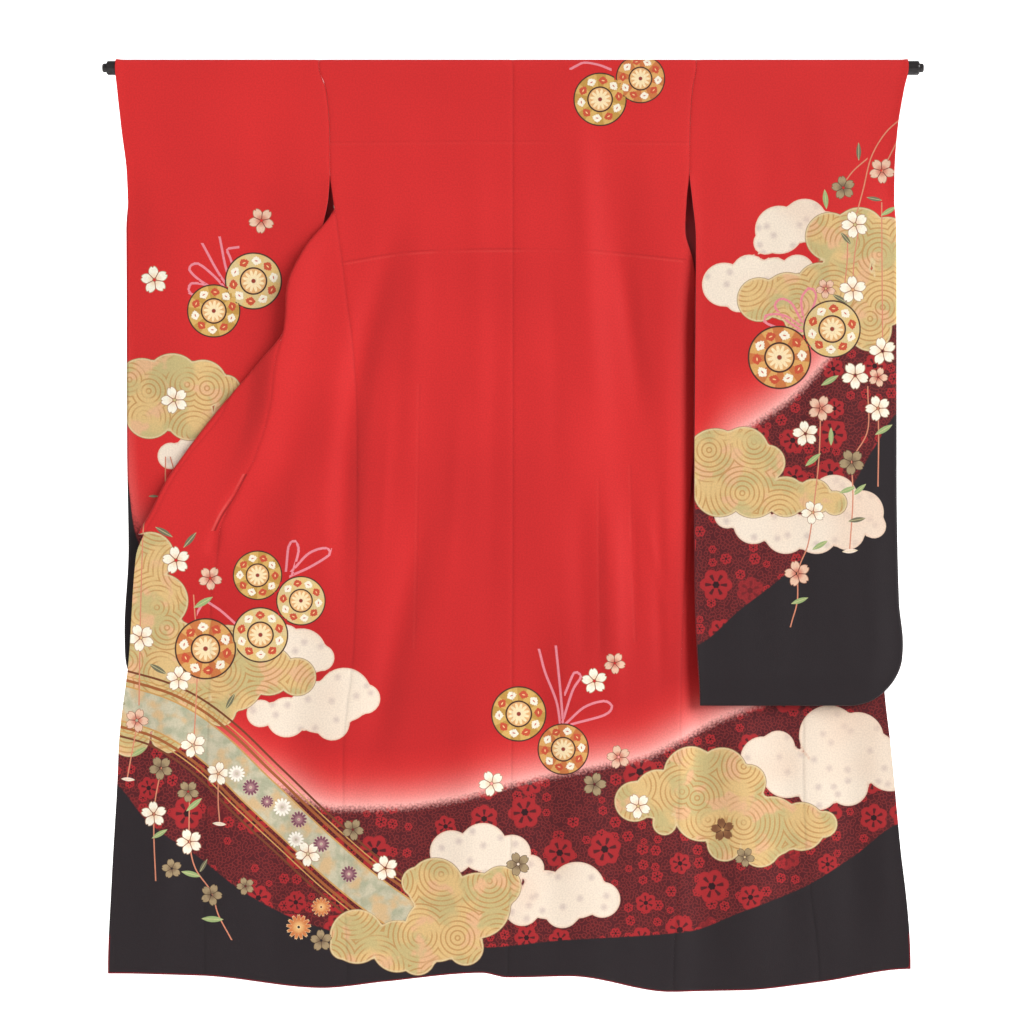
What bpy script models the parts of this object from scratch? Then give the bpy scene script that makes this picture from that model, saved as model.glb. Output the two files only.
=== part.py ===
"""Furisode, a long-sleeved kimono, hung on a plain rod with its back to the viewer.

Frame: metres, +Z up, origin on the rod's axis at its middle, which is where the rod
is held. The viewer looks along +Y, so -Y is the side towards the viewer. Left and
right are the viewer's.

Each body panel is one strip of cloth, as it is cut: it runs from the back hem over
the rod and down the far side to the front hem. The overlap panels (okumi) and the
collar follow the free front edges. The fronts are spread to both sides of the
back, the left one before its sleeve and the right one behind its sleeve, and each
doubles back along slanting folds higher up, where the cloth hangs from the rod.
"""

import math
from collections import Counter, namedtuple

import bmesh
import bpy
from mathutils import Vector

# Driving sizes of the cloth and the rod
WALL = 0.0016
SEAM_GAP = 0.0003
FOLD_GAP = 0.0004
ROD_RADIUS = 0.0125
ROD_CLEARANCE = 0.0005
ROD_SHOULDER = 0.7060
ROD_END = 0.7140
ROD_TIP_RADIUS = 0.0078
COLLAR_WIDTH = 0.055
NECK_HALF_WIDTH = 0.090
HEM_DEPTH = 1.580
KENSAKI_DEPTH = 0.230
COLLAR_FOOT = 0.811
FOLD_RADIUS = 0.004
SLEEVE_DEPTH = 1.104
CUFF_DEPTH = 0.230
SLEEVE_CORNER = 0.080
ARMHOLE_DEPTH = 0.185
SIDE_SEAM_LEFT = 0.256
SIDE_SEAM_RIGHT = 0.285

# Where the cloth's middle surface lies on the rod
CLOTH_RADIUS = ROD_RADIUS + ROD_CLEARANCE + WALL / 2
HALF_TURN = math.pi * FOLD_RADIUS / 2

# How finely each piece is divided
ARC_STEPS = 8
SKIRT_ROWS = 5
SKIRT_TOP = 0.850
BACK_COLUMNS = 11
OKUMI_COLUMNS = 7
COLLAR_COLUMNS = 6
BRIDGE_COLUMNS = 4
SLEEVE_COLUMNS = 6
SLEEVE_ROWS = 8
CORNER_ROWS = 5
ROD_SEGMENTS = 28

# Depths of the rows above the skirt, closest where a fold crosses a seam
YOKE_DEPTHS = (0.0, COLLAR_WIDTH / 2, COLLAR_WIDTH, 0.085, 0.115, 0.142, 0.152, 0.160, 0.167, 0.175)
SLIT_DEPTHS = (ARMHOLE_DEPTH, 0.205, KENSAKI_DEPTH, 0.244, 0.259, 0.285, 0.315, 0.350)
FOLD_DEPTHS = (0.390, 0.425, 0.447, 0.459, 0.469, 0.479, 0.490, 0.508, 0.530, 0.550, 0.564)
SPREAD_DEPTHS = (0.576, 0.590, 0.612, 0.640, 0.672, 0.704, 0.726, 0.748, 0.769, 0.790, COLLAR_FOOT)

# Heights are depths below the rod's axis; the other columns are x places
BodyRow = namedtuple("BodyRow", "depth left_side right_side centre")
BODY_ROWS = (
    BodyRow(0.000, -0.3365, 0.3178, 0.000),
    BodyRow(0.040, -0.3243, 0.3112, 0.000),
    BodyRow(0.110, -0.3179, 0.3068, 0.000),
    BodyRow(0.185, -0.3173, 0.3058, 0.000),
    BodyRow(0.225, -0.3085, 0.3010, 0.000),
    BodyRow(0.285, -0.3035, 0.2965, 0.000),
    BodyRow(0.350, -0.2945, 0.2950, 0.000),
    BodyRow(0.420, -0.2865, 0.2938, 0.000),
    BodyRow(0.500, -0.2765, 0.2928, 0.000),
    BodyRow(0.620, -0.2705, 0.2920, 0.000),
    BodyRow(0.800, -0.2700, 0.2910, 0.000),
    BodyRow(1.000, -0.2755, 0.2898, -0.001),
    BodyRow(1.200, -0.2940, 0.2890, -0.002),
    BodyRow(1.400, -0.2920, 0.2850, -0.005),
    BodyRow(1.580, -0.2870, 0.2775, -0.009),
)

# Distances across the cloth from the side seam: the okumi seam, the collar seam, and
# the line where the cloth doubles back
FrontRow = namedtuple("FrontRow", "depth okumi_seam collar_seam fold")
LEFT_FRONT_ROWS = (
    FrontRow(0.000, 0.2465, 0.2465, -HALF_TURN),
    FrontRow(0.100, 0.2330, 0.2330, -HALF_TURN),
    FrontRow(0.185, 0.2170, 0.2170, -HALF_TURN),
    FrontRow(0.230, 0.2025, 0.2060, -HALF_TURN),
    FrontRow(0.256, 0.1900, 0.2010, 0.0090),
    FrontRow(0.317, 0.1650, 0.1930, 0.0650),
    FrontRow(0.378, 0.1400, 0.1820, 0.1005),
    FrontRow(0.459, 0.1200, 0.1720, 0.1190),
    FrontRow(0.513, 0.1350, 0.2000, 0.1670),
    FrontRow(0.595, 0.1500, 0.2300, 0.2420),
    FrontRow(0.677, 0.1760, 0.2925, 0.3050),
    FrontRow(0.720, 0.1980, 0.3215, 0.3340),
    FrontRow(0.771, 0.2260, 0.3465, 0.3590),
    FrontRow(0.811, 0.2390, 0.3685, 0.3810),
    FrontRow(0.850, 0.2420, 0.3820, 0.3950),
    FrontRow(0.926, 0.2507, 0.3860, 0.3990),
    FrontRow(1.080, 0.2430, 0.3880, 0.4010),
    FrontRow(1.170, 0.2360, 0.3885, 0.4015),
    FrontRow(1.404, 0.2420, 0.4020, 0.4150),
    FrontRow(1.580, 0.2470, 0.4140, 0.4270),
)
RIGHT_FRONT_ROWS = (
    FrontRow(0.000, 0.2278, 0.2278, 0.3100),
    FrontRow(0.055, 0.2300, 0.2300, 0.2980),
    FrontRow(0.185, 0.2360, 0.2360, 0.2240),
    FrontRow(0.230, 0.2365, 0.2400, 0.2020),
    FrontRow(0.300, 0.2350, 0.2540, 0.1680),
    FrontRow(0.400, 0.2310, 0.2720, 0.1240),
    FrontRow(0.500, 0.2260, 0.2880, 0.0840),
    FrontRow(0.600, 0.2220, 0.3060, 0.0460),
    FrontRow(0.690, 0.2185, 0.3200, 0.0100),
    FrontRow(0.805, 0.2160, 0.3360, -HALF_TURN),
    FrontRow(0.950, 0.2158, 0.3460, -HALF_TURN),
    FrontRow(1.075, 0.2155, 0.3543, -HALF_TURN),
    FrontRow(1.190, 0.2160, 0.3690, -HALF_TURN),
    FrontRow(1.357, 0.2230, 0.3865, -HALF_TURN),
    FrontRow(1.580, 0.2540, 0.4130, -HALF_TURN),
)

# Second fold of the right side: the collar turned behind the okumi
CollarTurn = namedtuple("CollarTurn", "depth beyond_seam")
RIGHT_COLLAR_TURNS = (
    CollarTurn(0.000, 0.0700),
    CollarTurn(0.520, 0.0640),
    CollarTurn(0.640, 0.0150),
    CollarTurn(0.811, 0.0130),
)

HemRow = namedtuple("HemRow", "x depth")
HEM_ROWS = (
    HemRow(-0.701, 1.571),
    HemRow(-0.536, 1.575),
    HemRow(-0.330, 1.596),
    HemRow(-0.221, 1.585),
    HemRow(-0.054, 1.570),
    HemRow(-0.009, 1.578),
    HemRow(0.099, 1.576),
    HemRow(0.275, 1.605),
    HemRow(0.400, 1.603),
    HemRow(0.531, 1.589),
    HemRow(0.691, 1.566),
)

SleeveRow = namedtuple("SleeveRow", "depth inner outer")
LEFT_SLEEVE_ROWS = (
    SleeveRow(0.000, -0.3368, -0.6900),
    SleeveRow(0.040, -0.3246, -0.6865),
    SleeveRow(0.110, -0.3182, -0.6790),
    SleeveRow(0.185, -0.3176, -0.6705),
    SleeveRow(0.225, -0.3300, -0.6695),
    SleeveRow(0.300, -0.3360, -0.6690),
    SleeveRow(0.665, -0.3340, -0.6680),
    SleeveRow(0.837, -0.3320, -0.6655),
    SleeveRow(0.980, -0.3290, -0.6725),
    SleeveRow(1.104, -0.3280, -0.6680),
)
RIGHT_SLEEVE_ROWS = (
    SleeveRow(0.000, 0.3181, 0.6860),
    SleeveRow(0.040, 0.3115, 0.6780),
    SleeveRow(0.110, 0.3071, 0.6665),
    SleeveRow(0.185, 0.3061, 0.6612),
    SleeveRow(0.225, 0.3100, 0.6610),
    SleeveRow(0.300, 0.3165, 0.6610),
    SleeveRow(0.700, 0.3140, 0.6610),
    SleeveRow(0.926, 0.3155, 0.6650),
    SleeveRow(1.000, 0.3185, 0.6720),
    SleeveRow(1.104, 0.3240, 0.6640),
)

# Depth in y of each layer of the sleeves: the middle of the bag and its full width
BagRow = namedtuple("BagRow", "depth left_middle right_middle width")
BAG_ROWS = (
    BagRow(0.000, 0.0000, 0.0000, 2 * CLOTH_RADIUS),
    BagRow(0.080, 0.0005, -0.0020, 0.0260),
    BagRow(0.190, 0.0015, -0.0070, 0.0210),
    BagRow(0.360, 0.0040, -0.0140, 0.0170),
    BagRow(1.104, 0.0045, -0.0150, 0.0160),
)
BAG_EDGE_WIDTH = 0.0070
BAG_EDGE_REACH = 0.050
ARMHOLE_REACH = 0.100

# Depth in y of the back's middle surface, down the garment
NearRow = namedtuple("NearRow", "depth y")
BACK_NEAR_ROWS = (
    NearRow(0.000, -CLOTH_RADIUS),
    NearRow(0.190, -0.0145),
    NearRow(0.350, -0.0200),
    NearRow(0.600, -0.0225),
    NearRow(1.580, -0.0215),
)

# How far the left okumi lies behind the front's rolled edge
StepRow = namedtuple("StepRow", "depth step")
OKUMI_STEP_ROWS = (
    StepRow(0.400, 0.0000),
    StepRow(0.470, 0.0090),
    StepRow(0.600, 0.0080),
    StepRow(0.700, 0.0030),
    StepRow(0.780, 0.0000),
)
OKUMI_STEP_WIDTH = 0.012

# The right side of the back falls away towards the slit and passes behind the sleeve
RECEDE_DEPTH = 0.0240
RECEDE_START = 0.200
RECEDE_END = 0.300
LEFT_FORWARD = 0.0040

# Largest folds: a positive fall is a valley, a negative one a ridge
Crease = namedtuple("Crease", "x_start depth_start x_end depth_end bow width fall")
CREASES = (
    Crease(-0.194, 0.290, -0.252, 0.820, -0.022, 0.015, 0.0085),
    Crease(-0.136, 0.190, -0.172, 0.450, -0.004, 0.016, 0.0035),
    Crease(-0.134, 0.240, -0.192, 0.900, 0.010, 0.026, -0.0045),
    Crease(-0.112, 0.660, -0.235, 1.260, 0.017, 0.026, 0.0085),
    Crease(0.118, 0.070, 0.148, 0.660, 0.000, 0.024, -0.0050),
    Crease(0.184, 0.300, 0.226, 0.620, 0.000, 0.018, 0.0050),
    Crease(0.128, 0.730, 0.140, 1.060, 0.000, 0.022, 0.0060),
    Crease(0.196, 0.640, 0.222, 1.080, 0.000, 0.022, -0.0060),
    Crease(0.040, 0.900, 0.075, 1.560, 0.000, 0.040, 0.0050),
    Crease(-0.060, 1.050, -0.085, 1.570, 0.000, 0.040, -0.0050),
    Crease(-0.320, 0.380, -0.325, 0.640, 0.000, 0.030, -0.0040),
    Crease(-0.300, 0.690, -0.440, 0.800, 0.000, 0.028, 0.0050),
    Crease(-0.360, 0.950, -0.420, 1.560, 0.000, 0.040, 0.0060),
    Crease(-0.590, 0.980, -0.610, 1.560, 0.000, 0.035, -0.0050),
    Crease(0.390, 1.020, 0.410, 1.590, 0.000, 0.040, -0.0060),
    Crease(0.570, 1.060, 0.600, 1.570, 0.000, 0.035, 0.0050),
)

Finish = namedtuple("Finish", "name colour roughness")
RED_CREPE = Finish("red crepe silk", (0.680, 0.032, 0.032, 1.0), 0.62)
BLACK_CREPE = Finish("printed crepe silk", (0.140, 0.030, 0.032, 1.0), 0.62)
LACQUER = Finish("black lacquer", (0.012, 0.010, 0.010, 1.0), 0.25)


def smooth(value, start, end):
    """Rises from 0 at start to 1 at end along an S curve."""
    t = min(max((value - start) / (end - start), 0.0), 1.0)
    return t * t * (3.0 - 2.0 * t)


def mix(first, second, share):
    """The value at a share of the way from the first to the second."""
    return first + (second - first) * share


def limited_slopes(places, values):
    """Slopes at each row that keep a cubic curve from overshooting its rows."""
    steps = [b - a for a, b in zip(places, places[1:])]
    rises = [(b - a) / h for a, b, h in zip(values, values[1:], steps)]
    slopes = [0.0] * len(places)
    for i in range(1, len(places) - 1):
        if rises[i - 1] * rises[i] > 0.0:
            before = 2.0 * steps[i] + steps[i - 1]
            after = steps[i] + 2.0 * steps[i - 1]
            slopes[i] = (before + after) / (before / rises[i - 1] + after / rises[i])
    return slopes


def smooth_column(rows, column):
    """A smooth function of a table's first column through one of its other columns."""
    places = [row[0] for row in rows]
    values = [getattr(row, column) for row in rows]
    slopes = limited_slopes(places, values)

    def value_at(place):
        if place <= places[0]:
            return values[0]
        if place >= places[-1]:
            return values[-1]
        i = max(k for k in range(len(places) - 1) if places[k] <= place)
        h = places[i + 1] - places[i]
        t = (place - places[i]) / h
        blend = t * t * (3.0 - 2.0 * t)
        bend = h * t * (1.0 - t) * ((1.0 - t) * slopes[i] - t * slopes[i + 1])
        return mix(values[i], values[i + 1], blend) + bend

    return value_at


left_side = smooth_column(BODY_ROWS, "left_side")
right_side = smooth_column(BODY_ROWS, "right_side")
centre_line = smooth_column(BODY_ROWS, "centre")
hem_depth = smooth_column(HEM_ROWS, "depth")
back_near = smooth_column(BACK_NEAR_ROWS, "y")
okumi_step = smooth_column(OKUMI_STEP_ROWS, "step")
left_okumi_seam = smooth_column(LEFT_FRONT_ROWS, "okumi_seam")


def crease_fall(crease, x, depth):
    """How far one crease moves the cloth away from the viewer."""
    run_x = crease.x_end - crease.x_start
    run_depth = crease.depth_end - crease.depth_start
    length = math.hypot(run_x, run_depth)
    along = ((x - crease.x_start) * run_x + (depth - crease.depth_start) * run_depth) / length**2
    across = ((x - crease.x_start) * run_depth - (depth - crease.depth_start) * run_x) / length
    if not -0.1 < along < 1.1:
        return 0.0
    bend = crease.bow * 4.0 * along * (1.0 - along)
    fade = smooth(along, -0.1, 0.35) * smooth(1.1 - along, 0.0, 0.45)
    return crease.fall * fade * math.exp(-(((across - bend) / crease.width) ** 2))


def near_y(x, depth):
    """Depth in y of the spread skirt: the back, and the fronts beyond its side seams."""
    y = back_near(depth)
    y += RECEDE_DEPTH * smooth(x, RECEDE_START, RECEDE_END) * smooth(depth, 0.17, 0.46)
    y -= LEFT_FORWARD * smooth(-x, 0.24, 0.34) * smooth(depth, 0.19, 0.34)
    seam_x = left_side(depth) - left_okumi_seam(depth)
    y += okumi_step(depth) * smooth(seam_x - x, -OKUMI_STEP_WIDTH, -0.002)
    settle = smooth(depth, 0.03, 0.12)
    return y + settle * sum(crease_fall(crease, x, depth) for crease in CREASES)


def far_y(depth):
    """Depth in y of the front's upper part, which hangs from the far side of the rod."""
    return mix(CLOTH_RADIUS, 0.0095, smooth(depth, 0.0, ARMHOLE_DEPTH))


def doubled(distance, folds):
    """Where a point of the cloth lies once the cloth doubles back at each fold.

    Returns the way it has gone sideways from its start and how far behind it lies.
    """
    sideways = 0.0
    behind = 0.0
    heading = 1.0
    run_start = 0.0
    for fold in folds:
        turn_start = fold - HALF_TURN
        if distance <= turn_start:
            break
        sideways += heading * (turn_start - run_start)
        if distance <= fold + HALF_TURN:
            angle = (distance - turn_start) / FOLD_RADIUS
            arc = heading * FOLD_RADIUS * math.sin(angle)
            return sideways + arc, behind + FOLD_RADIUS * (1.0 - math.cos(angle))
        behind += 2.0 * FOLD_RADIUS
        heading = -heading
        run_start = fold + HALF_TURN
    return sideways + heading * (distance - run_start), behind


def hemmed(depth, x):
    """Height of a row's point, with the hem's own line reached at the last row."""
    share = smooth(depth, 0.75 * HEM_DEPTH, HEM_DEPTH)
    return -(depth + (hem_depth(x) - HEM_DEPTH) * share)


class FrontSide:
    """One front of the garment: its body panel, okumi and collar as one folded cloth."""

    def __init__(self, rows, side, outward, seam_top):
        self.okumi_seam = smooth_column(rows, "okumi_seam")
        self.collar_seam = smooth_column(rows, "collar_seam")
        self.fold = smooth_column(rows, "fold")
        self.side = side
        self.outward = outward
        self.seam_top = seam_top

    def gap_at(self, distance, depth):
        """Half of the seam's gap, a little more where the cloth turns at the seam."""
        nearness = 1.0 - smooth(abs(distance - self.fold(depth)), HALF_TURN, 2.5 * HALF_TURN)
        return (SEAM_GAP + FOLD_GAP * nearness) / 2

    def body_edge(self, depth):
        """Inner edge of the body panel: at the collar, or at the okumi further down."""
        edge = min(self.okumi_seam(depth), self.collar_seam(depth))
        return edge - self.gap_at(edge, depth)

    def hanging(self, depth):
        """1 where the cloth hangs from the far side of the rod, 0 below the slit."""
        return 1.0 - smooth(depth, ARMHOLE_DEPTH - 0.03, self.seam_top)

    def place(self, distance, depth):
        """Point of the cloth's middle surface, as x, y and z."""
        x, y = self.point(distance, depth)
        return x, y, hemmed(depth, x)

    def row(self, distances, depth):
        """Points across the cloth, each with the direction its outer side faces."""
        return [facing(self.place, distance, depth, -self.outward) for distance in distances]


class LeftFront(FrontSide):
    """The left front goes out before its sleeve and doubles back behind itself."""

    def point(self, distance, depth):
        """Middle surface at a distance across the cloth from the side seam."""
        sideways, behind = doubled(distance, [self.fold(depth)])
        start, start_behind = doubled(0.0, [self.fold(depth)])
        hanging = self.hanging(depth)
        upright = 1.0 - abs(start_behind / FOLD_RADIUS - 1.0)
        clear = SEAM_GAP * (1.0 - hanging) + 0.7 * WALL * upright
        x = self.side(depth) - clear - (sideways - start)
        hung = far_y(depth) + behind - start_behind
        return x, mix(near_y(x, depth) + behind, hung, hanging)


class RightFront(FrontSide):
    """The right front starts inward behind the back and doubles out behind its sleeve."""

    collar_turn = staticmethod(smooth_column(RIGHT_COLLAR_TURNS, "beyond_seam"))

    def point(self, distance, depth):
        """Middle surface at a distance across the cloth from the side seam."""
        folds = [self.fold(depth), self.collar_seam(depth) + self.collar_turn(depth)]
        sideways, behind = doubled(distance, folds)
        start, start_behind = doubled(0.0, folds)
        butted = smooth(depth, 0.76, 0.80)
        x = self.side(depth) + SEAM_GAP * butted - (sideways - start)
        clear = WALL + SEAM_GAP + 0.006 * smooth(distance, 0.0, 0.022)
        spread = 1.0 - smooth(depth, 0.80, 0.95)
        behind -= start_behind
        spread_y = near_y(x, depth) + behind + clear * spread
        return x, mix(spread_y, far_y(depth) + behind, self.hanging(depth))


left_front = LeftFront(LEFT_FRONT_ROWS, left_side, -1.0, SIDE_SEAM_LEFT)
right_front = RightFront(RIGHT_FRONT_ROWS, right_side, 1.0, SIDE_SEAM_RIGHT)


def spaced(start, end, count):
    """Evenly spaced values from start to end, both included."""
    return [mix(start, end, i / count) for i in range(count + 1)]


def row_depths(start=0.0, end=HEM_DEPTH):
    """Depths of the rows that all pieces share."""
    rows = list(YOKE_DEPTHS + SLIT_DEPTHS + FOLD_DEPTHS + SPREAD_DEPTHS)
    rows += spaced(SKIRT_TOP, HEM_DEPTH, SKIRT_ROWS)
    return [depth for depth in rows if start - 1e-6 <= depth <= end + 1e-6]


def crowded(start, end, count, crowd, reach=0.008, share=0.55):
    """Places from start to end that crowd around one place, for a fold's turn."""
    crowd = min(max(crowd, start + 0.4 * reach), end - 0.4 * reach)
    samples = spaced(start, end, 240)
    span = end - start
    reached = [0.0]
    total = sum(math.exp(-(((s - crowd) / reach) ** 2)) for s in samples[1:])
    for s in samples[1:]:
        bump = math.exp(-(((s - crowd) / reach) ** 2)) / total
        reached.append(reached[-1] + share * bump + (1.0 - share) / 240)
    places = []
    for i in range(count + 1):
        target = reached[-1] * i / count
        k = next((k for k in range(1, 241) if reached[k] >= target - 1e-12), 240)
        part = (target - reached[k - 1]) / (reached[k] - reached[k - 1])
        places.append(start + span * (k - 1 + min(max(part, 0.0), 1.0)) / 240)
    places[-1] = end
    return places


def facing(place, across, along, side):
    """A point of a surface with the direction its outer side faces."""
    step = 0.0004
    before = place(across - step, along)
    after = place(across + step, along)
    above = place(across, along - step)
    below = place(across, along + step)
    run = Vector(after) - Vector(before)
    fall = Vector(below) - Vector(above)
    return Vector(place(across, along)), run.cross(fall).normalized() * side


def over_rod(x, step):
    """Point of the cloth on its way over the rod, from the near to the far side."""
    angle = math.pi * step / ARC_STEPS
    outer = Vector((0.0, -math.cos(angle), math.sin(angle)))
    return Vector((x, 0.0, 0.0)) + outer * CLOTH_RADIUS, outer


def make_material(finish):
    """A plain Principled material."""
    material = bpy.data.materials.get(finish.name) or bpy.data.materials.new(finish.name)
    material.use_nodes = True
    shader = material.node_tree.nodes["Principled BSDF"]
    shader.inputs["Base Color"].default_value = finish.colour
    shader.inputs["Roughness"].default_value = finish.roughness
    shader.inputs["Metallic"].default_value = 0.0
    return material


class Surface:
    """A cloth's middle surface as rows of points, each with its outer side's direction.

    The wall's two faces lie along those directions, so that pieces that meet at a
    seam keep their gap where the cloth turns sharply.
    """

    def __init__(self):
        self.points = []
        self.outers = []
        self.faces = []

    def row(self, facings):
        """Adds a row of points and returns their numbers."""
        first = len(self.points)
        self.points.extend(point for point, _ in facings)
        self.outers.extend(outer for _, outer in facings)
        return list(range(first, len(self.points)))

    def strip(self, upper, lower):
        """Joins two rows of point numbers with quads."""
        for a, b, c, d in zip(upper, upper[1:], lower[1:], lower):
            self.faces.append((a, b, c, d))

    def strips(self, rows):
        """Joins each row to the next one."""
        for upper, lower in zip(rows, rows[1:]):
            self.strip(upper, lower)

    def wall(self, name, finish, collection):
        """The named object: both faces of the wall and the rims along its edges."""
        shape = bmesh.new()
        half = WALL / 2
        outer = [shape.verts.new(p + n * half) for p, n in zip(self.points, self.outers)]
        inner = [shape.verts.new(p - n * half) for p, n in zip(self.points, self.outers)]
        edge_uses = Counter()
        for a, b, c, d in self.faces:
            for triangle in ((a, b, c), (a, c, d)):
                shape.faces.new([outer[i] for i in triangle])
                shape.faces.new([inner[i] for i in reversed(triangle)])
            edge_uses.update(frozenset(side) for side in ((a, b), (b, c), (c, d), (d, a)))
        for side, uses in edge_uses.items():
            if uses == 1:
                a, b = sorted(side)
                shape.faces.new((outer[a], inner[a], inner[b]))
                shape.faces.new((outer[a], inner[b], outer[b]))
        bmesh.ops.recalc_face_normals(shape, faces=shape.faces)
        mesh = bpy.data.meshes.new(name)
        shape.to_mesh(mesh)
        shape.free()
        mesh.materials.append(make_material(finish))
        mesh.shade_smooth()
        mesh.set_sharp_from_angle(angle=math.radians(60))
        piece = bpy.data.objects.new(name, mesh)
        collection.objects.link(piece)
        return piece


def back_place(x, depth):
    """Point of the back's middle surface."""
    return x, near_y(x, depth), hemmed(depth, x)


def build_body(name, front, side, inner_gap, collection):
    """One body panel, from the back hem over the rod to the front hem."""
    surface = Surface()
    depths = row_depths()
    neck_x = front.outward * NECK_HALF_WIDTH
    neck_share = (side(0.0) - neck_x) / side(0.0)
    shoulder_columns = round(BACK_COLUMNS * neck_share)
    shares = spaced(0.0, neck_share, shoulder_columns)
    shares += spaced(neck_share, 1.0, BACK_COLUMNS - shoulder_columns)[1:]
    rows = []
    for depth in reversed(depths[1:]):
        inner = centre_line(depth) + inner_gap
        places = [mix(side(depth), inner, share) for share in shares]
        rows.append(surface.row([facing(back_place, x, depth, -1.0) for x in places]))
    top = [mix(side(0.0), inner_gap, share) for share in shares]
    for step in range(ARC_STEPS + 1):
        rows.append(surface.row([over_rod(x, step) for x in top]))
    surface.strips(rows)
    front_rows = [rows[-1][: shoulder_columns + 1]]
    for depth in depths[1:]:
        end = front.body_edge(depth)
        even = spaced(0.0, end, shoulder_columns)
        packed = crowded(0.0, end, shoulder_columns, front.fold(depth))
        crowding = smooth(depth, 0.0, 0.15)
        places = [mix(plain, close, crowding) for plain, close in zip(even, packed)]
        front_rows.append(surface.row(front.row(places, depth)))
    surface.strips(front_rows)
    return surface.wall(name, RED_CREPE, collection)


def build_okumi(name, front, collection):
    """One overlap panel, from its point under the collar to the hem."""
    surface = Surface()
    rows = []
    for depth in row_depths(start=KENSAKI_DEPTH):
        seam = front.okumi_seam(depth)
        edge = front.collar_seam(depth)
        start = seam + front.gap_at(seam, depth)
        end = edge - front.gap_at(edge, depth)
        places = crowded(start, end, OKUMI_COLUMNS, front.fold(depth))
        rows.append(surface.row(front.row(places, depth)))
    surface.strips(rows)
    return surface.wall(name, BLACK_CREPE, collection)


def collar_row(front, depth, crowd):
    """A row across the collar on one front, from its seam to its free edge."""
    seam = front.collar_seam(depth)
    start = seam + front.gap_at(seam, depth)
    places = crowded(start, seam + COLLAR_WIDTH, COLLAR_COLUMNS, crowd)
    return front.row(places, depth)


def build_collar(name, collection):
    """The collar: down both front edges, and round the back neck on the far side."""
    surface = Surface()
    left_rows = []
    right_rows = []
    bridge_rows = []
    for depth in [SEAM_GAP] + row_depths(start=COLLAR_WIDTH / 2, end=COLLAR_FOOT):
        seam = right_front.collar_seam(depth)
        right_crowd = right_front.fold(depth)
        if right_crowd < seam:
            right_crowd = seam + right_front.collar_turn(depth)
        left = collar_row(left_front, depth, left_front.fold(depth))
        right = collar_row(right_front, depth, right_crowd)
        left_rows.append(surface.row(left))
        right_rows.append(surface.row(right))
        if depth <= COLLAR_WIDTH:
            inner = []
            for share in spaced(0.0, 1.0, BRIDGE_COLUMNS)[1:-1]:
                middle = left[-1][0].lerp(right[-1][0], share)
                inner.append((middle, Vector((0.0, 1.0, 0.0))))
            bridge_rows.append([left_rows[-1][-1]] + surface.row(inner) + [right_rows[-1][-1]])
    surface.strips(left_rows)
    surface.strips([list(reversed(row)) for row in right_rows])
    surface.strips(bridge_rows)
    return surface.wall(name, RED_CREPE, collection)


class Sleeve:
    """A long sleeve: a bag over the rod, open at its cuff and along its inner side."""

    def __init__(self, rows, front, middle):
        self.inner = smooth_column(rows, "inner")
        self.outer = smooth_column(rows, "outer")
        self.middle = smooth_column(BAG_ROWS, middle)
        self.width = smooth_column(BAG_ROWS, "width")
        self.front = front

    def outer_edge(self, depth):
        """Outer edge, with the round corner at the sleeve's foot."""
        inset = depth - (SLEEVE_DEPTH - SLEEVE_CORNER)
        edge = self.outer(depth)
        if inset > 0.0:
            reach = math.sqrt(max(SLEEVE_CORNER**2 - inset**2, 0.0))
            edge -= self.front.outward * (SLEEVE_CORNER - reach)
        return edge

    def layer_y(self, x, depth, layer):
        """Depth in y of the near (-1) or far (+1) layer."""
        from_edge = abs(self.outer_edge(depth) - x)
        from_edge = min(from_edge, SLEEVE_DEPTH - depth)
        closing = smooth(depth, CUFF_DEPTH - 0.08, CUFF_DEPTH + 0.04)
        closing *= 1.0 - smooth(from_edge, 0.0, BAG_EDGE_REACH)
        width = mix(self.width(depth), BAG_EDGE_WIDTH, closing)
        own = self.middle(depth) + layer * width / 2
        body = near_y(self.front.side(depth), depth) if layer < 0 else far_y(depth)
        joined = 1.0 - smooth(abs(x - self.inner(depth)), 0.0, ARMHOLE_REACH)
        joined *= 1.0 - smooth(depth, ARMHOLE_DEPTH, ARMHOLE_DEPTH + 0.12)
        return mix(own, body, joined)

    def places(self, depth):
        """Places of a row's points, from the inner edge to the outer one."""
        inner = self.inner(depth)
        outer = self.outer_edge(depth)
        shares = [1.0 - (1.0 - share) ** 1.25 for share in spaced(0.0, 1.0, SLEEVE_COLUMNS)]
        return [mix(inner, outer, share) for share in shares]

    def row(self, depth, layer):
        """A row across one layer, from the inner edge to the outer one."""
        row = []
        for x in self.places(depth):
            outer = Vector((0.0, layer, 0.0))
            row.append((Vector((x, self.layer_y(x, depth, layer), -depth)), outer))
        return row

    def depths(self):
        """Depths of the rows: those of the body at the armhole, and a round corner."""
        corner_top = SLEEVE_DEPTH - SLEEVE_CORNER
        rows = row_depths(end=KENSAKI_DEPTH)
        rows += spaced(CUFF_DEPTH, corner_top, SLEEVE_ROWS)[1:]
        turns = [math.sin(math.pi / 2 * i / CORNER_ROWS) for i in range(1, CORNER_ROWS + 1)]
        return rows + [corner_top + SLEEVE_CORNER * turn for turn in turns]


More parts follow.
